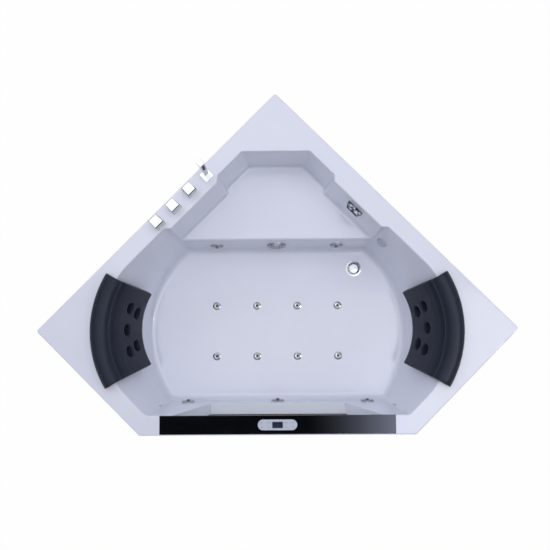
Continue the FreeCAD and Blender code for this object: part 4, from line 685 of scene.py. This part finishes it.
pillow_skin = paint("pillow_skin", tone(33, 38, 50), tone(43, 49, 63),
                    smooth=0.34, rough=0.46, scale=26, depth=0.0)
nodes, links = pillow_skin.node_tree.nodes, pillow_skin.node_tree.links
nodes["Principled BSDF"].inputs["Specular IOR Level"].default_value = 0.13
hide_place = nodes.new("ShaderNodeTexCoord")
hide = nodes.new("ShaderNodeTexVoronoi")
hide.feature = "DISTANCE_TO_EDGE"
hide.inputs["Scale"].default_value = 420
hide_bump = nodes.new("ShaderNodeBump")
hide_bump.inputs["Distance"].default_value = 0.00035
hide_bump.inputs["Strength"].default_value = 0.55
links.new(hide_place.outputs["Object"], hide.inputs["Vector"])
links.new(hide.outputs["Distance"], hide_bump.inputs["Height"])
links.new(hide_bump.outputs["Normal"], nodes["Principled BSDF"].inputs["Normal"])

rim_level = 0.65
pillow_middle = 0.301
roll_middle, roll_radius, roll_sink = 0.426, 0.0405, -0.001
wall_lean = 0.2767
pad_length = 0.279
pad_face, pad_back = 0.3815, 0.4145
pillow_sweep = math.radians(61.4)
hole_radius = 0.0248
hole_rows = ((0.126, 15.5, (-1, 0, 1)), (0.196, 12.6, (-1, 1)))


def pillow_section():
    """The pillow's outline at its middle: out from its centre of curvature, and up from the rim."""
    points = []
    for step in range(17):
        turn = math.radians(2 + 176 * step / 16)
        points.append((roll_middle + roll_radius * math.cos(turn), roll_sink + roll_radius * math.sin(turn)))
    crease = [(0.392, -0.006), (0.3925, -0.011), (0.383, -0.018), (0.376, -0.026)]
    points += crease
    for drop in (0.06, 0.11, 0.16, 0.21, 0.255):
        crown = 0.004 * math.sin(math.pi * drop / pad_length)
        points.append((pad_face - wall_lean * drop - crown, -drop))
    lower_edge = [(0.3095, -0.272), (0.316, -pad_length), (0.333, -pad_length), (0.3395, -0.272)]
    points += lower_edge
    for drop in (0.2, 0.13, 0.06, 0.012):
        points.append((pad_back - wall_lean * drop, -drop))
    under_roll = (0.4135, 0.0006)
    points.append(under_roll)
    return points


def pillow(name, half_turn):
    """One pillow: its outline spun round, drilled, and evened out into a soft skin."""
    section = pillow_section()
    clear()
    bpy.ops.mesh.primitive_circle_add(vertices=len(section), radius=0.05)
    piece = named(name)
    for vertex, (out, up) in zip(piece.data.vertices, section):
        vertex.co = (out * math.cos(pillow_sweep / 2), out * math.sin(pillow_sweep / 2), up)
    bpy.ops.object.mode_set(mode="EDIT")
    bpy.ops.mesh.select_all(action="SELECT")
    bpy.ops.mesh.spin(steps=40, angle=pillow_sweep, center=(0, 0, 0), axis=(0, 0, 1))
    bpy.ops.mesh.select_all(action="SELECT")
    bpy.ops.mesh.remove_doubles(threshold=0.000001)
    bpy.ops.mesh.fill_holes(sides=0)
    bpy.ops.mesh.select_all(action="SELECT")
    bpy.ops.mesh.normals_make_consistent(inside=False)
    clear()
    lean = math.atan(wall_lean)
    holes = [(drop, angle, step) for drop, angle, steps in hole_rows for step in steps]
    for drop, angle, step in holes:
        heading = math.radians(angle * step)
        out = Vector((math.cos(heading), math.sin(heading), 0))
        axis = out * math.cos(lean) + Vector((0, 0, -math.sin(lean)))
        spot = out * (pad_face - wall_lean * drop) + Vector((0, 0, -drop))
        clear()
        bpy.ops.mesh.primitive_cylinder_add(vertices=40, radius=hole_radius, depth=0.2)
        drill = named("pillow_drill")
        drill.matrix_world = Matrix.Translation(spot) @ axis.to_track_quat("Z", "Y").to_matrix().to_4x4()
        bpy.context.view_layer.objects.active = piece
        hole = piece.modifiers.new("hole", "BOOLEAN")
        hole.operation = "DIFFERENCE"
        hole.object = drill
        hole.solver = "EXACT"
        bpy.ops.object.modifier_apply(modifier="hole")
        bpy.data.objects.remove(drill)
    take(piece)
    even = piece.modifiers.new("even", "REMESH")
    even.mode = "VOXEL"
    even.voxel_size = 0.0034
    bpy.ops.object.modifier_apply(modifier="even")
    relax = piece.modifiers.new("relax", "SMOOTH")
    relax.factor = 0.5
    relax.iterations = 9
    bpy.ops.object.modifier_apply(modifier="relax")
    half = Matrix.Rotation(math.pi if half_turn else 0.0, 4, "Z")
    place = Matrix.Translation((0, -layout_line, rim_level)) @ half
    place = place @ Matrix.Translation((pillow_middle, 0, 0))
    piece = spread(piece, [place])
    finish(piece, pillow_skin, angle=180)
    return piece


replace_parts(pillow("left_head_pillow", True), "left_pillow")
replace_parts(pillow("right_head_pillow", False), "right_pillow")


# Deck taps and hand shower
# Square chromed brass knobs stand on chromed plates over one brass manifold, each closed by a bevelled cover.
# The stick-shaped hand shower rests in a chromed sleeve, and its spray face is a dark plate of soft nozzles.
# The spout in the seat's side is cast chrome, and its colour carries painted reflections in dark and pale
# patches.

chrome = paint("polished_chrome", tone(190, 193, 197), tone(200, 202, 206),
               smooth=0.03, rough=0.1, scale=55, depth=0.0, metal=1.0)
dress(chrome, "valve_escutcheons", "hot_knob", "cold_knob", "diverter_knob", "shower_sleeve", "hand_shower")
# Painted reflections: the spout's colour swings from near black to mid grey in hard-edged patches, standing
# in for dark surroundings mirrored in it.
spout_painted_reflections = paint("spout_painted_reflections", tone(34, 38, 48), tone(126, 130, 142),
                     smooth=0.06, rough=0.2, scale=70, depth=0.0, metal=1.0)
nodes, links = spout_painted_reflections.node_tree.nodes, spout_painted_reflections.node_tree.links
# This map range sharpens the mottle into the hard edges of the painted reflections.
painted_reflection_patches = nodes.new("ShaderNodeMapRange")
painted_reflection_patches.inputs["From Min"].default_value = 0.44
painted_reflection_patches.inputs["From Max"].default_value = 0.58
links.new(nodes["mottle"].outputs["Shade"], painted_reflection_patches.inputs["Value"])
links.new(painted_reflection_patches.outputs["Result"], nodes["colour"].inputs[0])
dress(spout_painted_reflections, "filler_spout")
cast_brass = paint("cast_brass", tone(176, 140, 78), tone(206, 172, 104),
                   smooth=0.3, rough=0.5, scale=180, depth=0.0002, metal=1.0)
dress(cast_brass, "valve_bodies", "valve_backnuts")

cover_side = 0.0439
cover_bevel = 0.0034
cover_wall = 0.0016
cover_sink = 0.002
for knob in ("hot_knob", "cold_knob", "diverter_knob"):
    knob_low, knob_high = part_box(knob)
    knob_middle = (knob_low + knob_high) / 2
    clear()
    bpy.ops.mesh.primitive_cube_add(size=1.0, scale=(cover_side, cover_side, cover_wall))
    cover = named(knob + "_cover")
    bpy.ops.object.transform_apply(scale=True)
    pick(cover, lambda face: face.normal.z > 0.9)
    bpy.ops.mesh.inset(thickness=cover_bevel, depth=cover_bevel)
    soften(cover, 0.0003)
    cover_place = Matrix.Translation((knob_middle.x, knob_middle.y, knob_high.z - cover_sink))
    cover_place = cover_place @ Matrix.Rotation(math.radians(45), 4, "Z")
    finish(spread(cover, [cover_place]), chrome, knob + "_body", angle=12)

spray_silicone = paint("spray_silicone", tone(40, 43, 52), tone(62, 65, 74),
                       smooth=0.4, rough=0.55, scale=240, depth=0.00005)
nozzle_rows = 12
nozzle_pitch = 0.0054
clear()
bpy.ops.mesh.primitive_cube_add(size=1.0, scale=(0.0114, 0.0694, 0.0006))
spray = named("spray_plate")
bpy.ops.object.transform_apply(scale=True)
bpy.ops.object.mode_set(mode="EDIT")
for row in range(nozzle_rows):
    for x in (-0.0029, 0.0029):
        y = nozzle_pitch * (row - (nozzle_rows - 1) / 2)
        bpy.ops.mesh.primitive_cone_add(vertices=16, radius1=0.0013, radius2=0.0008, depth=0.0012,
                                        location=(x, y, 0.0008))
clear()
stick_low, stick_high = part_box("hand_shower")
stick_middle = (stick_low + stick_high) / 2
spray_turn = Matrix(((diagonal, 0, diagonal), (diagonal, 0, -diagonal), (0, 1, 0))).to_4x4()
spray_level, spray_stand = 0.8173, 0.0111
spray_place = Matrix.Translation((stick_middle.x, stick_middle.y, spray_level)) @ spray_turn
spray_place = spray_place @ Matrix.Translation((0, 0, spray_stand))
finish(spread(spray, [spray_place]), spray_silicone, "hand_shower_body")


# Water jets
# Each jet is a chromed ring that turns to set the flow, with a ball nozzle that tilts in it.

jet_names = ("back_left", "back_right", "front_left", "front_right", "front_middle")
ring_chrome = paint("ring_chrome", tone(146, 149, 156), tone(162, 165, 172),
                    smooth=0.04, rough=0.12, scale=90, depth=0.0, metal=1.0)
dress(ring_chrome, *["jet_ring_" + name for name in jet_names])
nozzle_chrome = paint("nozzle_chrome", tone(96, 99, 106), tone(120, 123, 130),
                      smooth=0.16, rough=0.26, scale=90, depth=0.0, metal=1.0)
dress(nozzle_chrome, *["jet_nozzle_" + name for name in jet_names])


# Suction cover, air jets and waste
# The suction cover is a chromed dish with rows of holes, held by one centre screw. The air jets are chromed
# caps in the floor, and each hole is filled with a black rubber dome as painted shade. The waste has a flange
# and a domed plug.

waste_chrome = paint("waste_chrome", tone(146, 149, 156), tone(164, 167, 174),
                     smooth=0.1, rough=0.2, scale=90, depth=0.0, metal=1.0)
dress(waste_chrome, "drain_flange", "drain_plug")
satin_chrome = paint("satin_chrome", tone(120, 123, 130), tone(140, 143, 150),
                     smooth=0.16, rough=0.26, scale=90, depth=0.0, metal=1.0)
dress(satin_chrome, "air_jet_caps")
cover_chrome = paint("cover_chrome", tone(148, 151, 158), tone(174, 177, 184),
                     smooth=0.08, rough=0.2, scale=90, depth=0.0, metal=1.0)
dress(cover_chrome, "suction_cover")

# Painted shade: a flat black rubber dome sits in each air jet's hole so that the hole reads dark.
clear()
bpy.ops.mesh.primitive_uv_sphere_add(segments=24, ring_count=12, radius=0.0056)
valve = named("air_jet_shade_domes")
bpy.ops.object.mode_set(mode="EDIT")
bpy.ops.transform.resize(value=(1.0, 1.0, 0.4))
clear()
air_columns, air_rows = (-288, -96, 96, 288), (-134, 105)
shade_dome_level = 222.6
shade_dome_places = [at(x, y, shade_dome_level) for x in air_columns for y in air_rows]
finish(spread(valve, shade_dome_places), seal_rubber, angle=60)

cover_low, cover_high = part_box("suction_cover")
cover_out = Vector((0, -0.9948, 0.1018))
clear()
bpy.ops.mesh.primitive_cylinder_add(vertices=28, radius=0.0052, depth=0.002)
cover_screw = named("suction_cover_screw")
pick(cover_screw, lambda face: face.normal.z > 0.9)
bpy.ops.mesh.inset(thickness=0.0012, depth=0.0009)
bpy.ops.mesh.inset(thickness=0.0016)
bpy.ops.mesh.extrude_region_move(TRANSFORM_OT_translate={"value": (0, 0, -0.0014)})
clear()
cover_middle = (cover_low + cover_high) / 2
screw_sink, screw_rise = 0.0043, 0.0003
screw_spot = Vector((0, cover_low.y + screw_sink, cover_middle.z + screw_rise))
screw_place = Matrix.Translation(screw_spot) @ cover_out.to_track_quat("Z", "Y").to_matrix().to_4x4()
finish(spread(cover_screw, [screw_place]), chrome)


# Light
# A clear lens with ring prisms in the right end of the well, under a clear dome that sheds the water.

dress(case_white, "light_housing")
lens_clear = paint("light_lens", tone(226, 232, 238), tone(236, 241, 246),
                   smooth=0.05, rough=0.12, scale=60, depth=0.0)
nodes, links = lens_clear.node_tree.nodes, lens_clear.node_tree.links
nodes["Principled BSDF"].inputs["Transmission Weight"].default_value = 0.2
lens_place = nodes.new("ShaderNodeTexCoord")
prisms = nodes.new("ShaderNodeTexWave")
prisms.inputs["Scale"].default_value = 90
prism_bump = nodes.new("ShaderNodeBump")
prism_bump.inputs["Distance"].default_value = 0.0004
links.new(lens_place.outputs["Object"], prisms.inputs["Vector"])
links.new(prisms.outputs["Fac"], prism_bump.inputs["Height"])
links.new(prism_bump.outputs["Normal"], nodes["Principled BSDF"].inputs["Normal"])
dress(lens_clear, "light_lens")

dome_clear = paint("dome_clear", tone(220, 224, 236), tone(230, 234, 245),
                   smooth=0.03, rough=0.07, scale=50, depth=0.0)
dome_clear.node_tree.nodes["Principled BSDF"].inputs["Transmission Weight"].default_value = 0.85
dome_clear.node_tree.nodes["Principled BSDF"].inputs["IOR"].default_value = 1.3
lens_low, lens_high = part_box("light_lens")
lens_out = Vector((-0.68, -0.68, 0.27)).normalized()
dome_radius, dome_flatness, dome_sink = 0.025, 0.72, 0.003
clear()
bpy.ops.mesh.primitive_uv_sphere_add(segments=48, ring_count=24, radius=dome_radius)
dome = named("light_dome")
bpy.ops.object.mode_set(mode="EDIT")
bpy.ops.transform.resize(value=(1.0, 1.0, dome_flatness))
bpy.ops.object.mode_set(mode="OBJECT")
pick(dome, lambda face: face.center.z < 0.0)
bpy.ops.mesh.delete(type="FACE")
bpy.ops.mesh.select_all(action="SELECT")
bpy.ops.mesh.fill_holes(sides=0)
clear()
dome_place = Matrix.Translation((lens_low + lens_high) / 2 - lens_out * dome_sink)
dome_place = dome_place @ lens_out.to_track_quat("Z", "Y").to_matrix().to_4x4()
finish(spread(dome, [dome_place]), dome_clear, angle=60)


# Studio
# A white sweep, a sky that is brighter behind, a broad lamp overhead, a softbox at either side, cards for the
# glossy surfaces to mirror, and a camera almost straight above.

clear()
bpy.ops.mesh.primitive_plane_add(size=16.0, location=(0, 0, -0.0005))
floor = named("studio_floor")


def seen_straight(nodes, links):
    """One for rays from the camera, off gloss or through glass, and zero for light that spreads."""
    path = nodes.new("ShaderNodeLightPath")
    direct = nodes.new("ShaderNodeMath")
    direct.operation = "MAXIMUM"
    either = nodes.new("ShaderNodeMath")
    either.operation = "MAXIMUM"
    links.new(path.outputs["Is Camera Ray"], direct.inputs[0])
    links.new(path.outputs["Is Glossy Ray"], direct.inputs[1])
    links.new(direct.outputs["Value"], either.inputs[0])
    links.new(path.outputs["Is Transmission Ray"], either.inputs[1])
    return either.outputs["Value"]


sweep = bpy.data.materials.new("studio_white")
sweep.use_nodes = True
nodes, links = sweep.node_tree.nodes, sweep.node_tree.links
nodes.clear()
shown = nodes.new("ShaderNodeOutputMaterial")
matt = nodes.new("ShaderNodeBsdfDiffuse")
matt.inputs["Color"].default_value = (0.8, 0.8, 0.8, 1.0)
glow = nodes.new("ShaderNodeEmission")
glow.inputs["Strength"].default_value = 1.0
lit = nodes.new("ShaderNodeMath")
lit.operation = "MULTIPLY"
lit.inputs[1].default_value = 0.98
links.new(seen_straight(nodes, links), lit.inputs[0])
blend = nodes.new("ShaderNodeMixShader")
links.new(lit.outputs["Value"], blend.inputs["Fac"])
links.new(matt.outputs["BSDF"], blend.inputs[1])
links.new(glow.outputs["Emission"], blend.inputs[2])
links.new(blend.outputs["Shader"], shown.inputs["Surface"])
floor.data.materials.append(sweep)

world = bpy.data.worlds.new("studio_world")
bpy.context.scene.world = world
world.use_nodes = True
nodes, links = world.node_tree.nodes, world.node_tree.links
nodes.clear()
sky = nodes.new("ShaderNodeOutputWorld")
fill = nodes.new("ShaderNodeBackground")
fill.inputs["Color"].default_value = (0.95, 0.97, 1.05, 1.0)
sky_turn = nodes.new("ShaderNodeTexCoord")
sky_parts = nodes.new("ShaderNodeSeparateXYZ")
from_behind = nodes.new("ShaderNodeMath")
from_behind.operation = "MULTIPLY_ADD"
from_behind.inputs[1].default_value = 0.18
from_behind.inputs[2].default_value = 0.45
links.new(sky_turn.outputs["Generated"], sky_parts.inputs[0])
links.new(sky_parts.outputs["Y"], from_behind.inputs[0])
links.new(from_behind.outputs["Value"], fill.inputs["Strength"])
white = nodes.new("ShaderNodeBackground")
white.inputs["Color"].default_value = (1.0, 1.0, 1.0, 1.0)
white.inputs["Strength"].default_value = 1.0
blend = nodes.new("ShaderNodeMixShader")
links.new(seen_straight(nodes, links), blend.inputs["Fac"])
links.new(fill.outputs["Background"], blend.inputs[1])
links.new(white.outputs["Background"], blend.inputs[2])
links.new(blend.outputs["Shader"], sky.inputs["Surface"])


def lamp(name, spot, target, size, watts):
    """A square soft lamp that points from its spot at the target."""
    data = bpy.data.lights.new(name, "AREA")
    data.shape = "RECTANGLE"
    data.size = size
    data.size_y = size
    data.energy = watts
    data.color = (0.96, 0.97, 1.05)
    thing = bpy.data.objects.new(name, data)
    bpy.context.collection.objects.link(thing)
    aim = Vector(target) - Vector(spot)
    thing.location = spot
    thing.rotation_euler = aim.to_track_quat("-Z", "Y").to_euler()


lamp("overhead_lamp", spot=(0.0, 0.7, 4.6), target=(0.0, -0.3, 0.3), size=3.6, watts=54)
lamp("right_softbox", spot=(2.9, -0.9, 3.0), target=(0.0, -0.2, 0.4), size=1.2, watts=8)
lamp("left_softbox", spot=(-2.0, 1.6, 2.8), target=(0.4, -0.6, 0.3), size=1.2, watts=10)


def card(name, place, start, end, low, high, tint=(1.0, 1.0, 1.0, 1.0)):
    """A staged card that only glossy surfaces see. Its glow rises along X from low to high."""
    clear()
    bpy.ops.mesh.primitive_plane_add(size=1.0)
    sheet = named(name)
    sheet.matrix_world = place
    bpy.context.view_layer.update()
    bpy.ops.object.transform_apply(location=True, rotation=True, scale=True)
    paper = bpy.data.materials.new(name + "_paper")
    paper.use_nodes = True
    nodes, links = paper.node_tree.nodes, paper.node_tree.links
    nodes.clear()
    shown = nodes.new("ShaderNodeOutputMaterial")
    glow = nodes.new("ShaderNodeEmission")
    spot = nodes.new("ShaderNodeTexCoord")
    parts = nodes.new("ShaderNodeSeparateXYZ")
    share = nodes.new("ShaderNodeMapRange")
    share.inputs["From Min"].default_value = start
    share.inputs["From Max"].default_value = end
    glow.inputs["Color"].default_value = tint
    curve = nodes.new("ShaderNodeMath")
    curve.operation = "POWER"
    curve.inputs[1].default_value = 2.0
    level = nodes.new("ShaderNodeMath")
    level.operation = "MULTIPLY_ADD"
    level.inputs[1].default_value = high - low
    level.inputs[2].default_value = low
    links.new(spot.outputs["Object"], parts.inputs[0])
    links.new(parts.outputs["X"], share.inputs["Value"])
    links.new(share.outputs["Result"], curve.inputs[0])
    links.new(curve.outputs["Value"], level.inputs[0])
    links.new(level.outputs["Value"], glow.inputs["Strength"])
    links.new(glow.outputs["Emission"], shown.inputs["Surface"])
    sheet.data.materials.append(paper)
    sheet.visible_camera = False
    sheet.visible_diffuse = False
    sheet.visible_shadow = False
    sheet.visible_transmission = False


strip_card = Matrix.Translation((0, -1.105, 3.25)) @ Matrix.Diagonal((2.2, 0.23, 1.0, 1.0))
card("strip_card", strip_card, start=0.2, end=0.95, low=0.0, high=5.3, tint=(0.69, 0.75, 1.0, 1.0))
sheen_card = Matrix.Translation((0.7, -0.8, 3.3)) @ Matrix.Diagonal((3.5, 1.6, 1.0, 1.0))
card("sheen_card", sheen_card, start=0.0, end=1.0, low=2.4, high=4.3)
spark_spot = Vector((2.3, -0.8, 3.0))
spark_turn = (Vector((-0.2, 0.0, 0.3)) - spark_spot).to_track_quat("-Z", "Y").to_matrix().to_4x4()
spark_card = Matrix.Translation(spark_spot) @ spark_turn @ Matrix.Diagonal((0.3, 0.3, 1.0, 1.0))
card("spark_card", spark_card, start=0.0, end=1.0, low=40.0, high=40.0)
for side in range(4):
    upright = Matrix.Rotation(math.radians(90 * side), 4, "Z") @ Matrix.Translation((0, 3.4, 1.75))
    upright = upright @ Matrix.Rotation(math.radians(90), 4, "X") @ Matrix.Diagonal((6.8, 1.9, 1.0, 1.0))
    card("horizon_flag_%d" % side, upright, start=8.0, end=9.0, low=0.0, high=0.0)

camera_data = bpy.data.cameras.new("camera")
camera_data.sensor_width = 36.0
camera_data.lens = 41.39
camera = bpy.data.objects.new("camera", camera_data)
bpy.context.collection.objects.link(camera)
camera.location = (0.0136, -0.2265, 3.25)
camera.rotation_euler = (0.0658, 0.0080, -0.0069)
bpy.context.scene.camera = camera
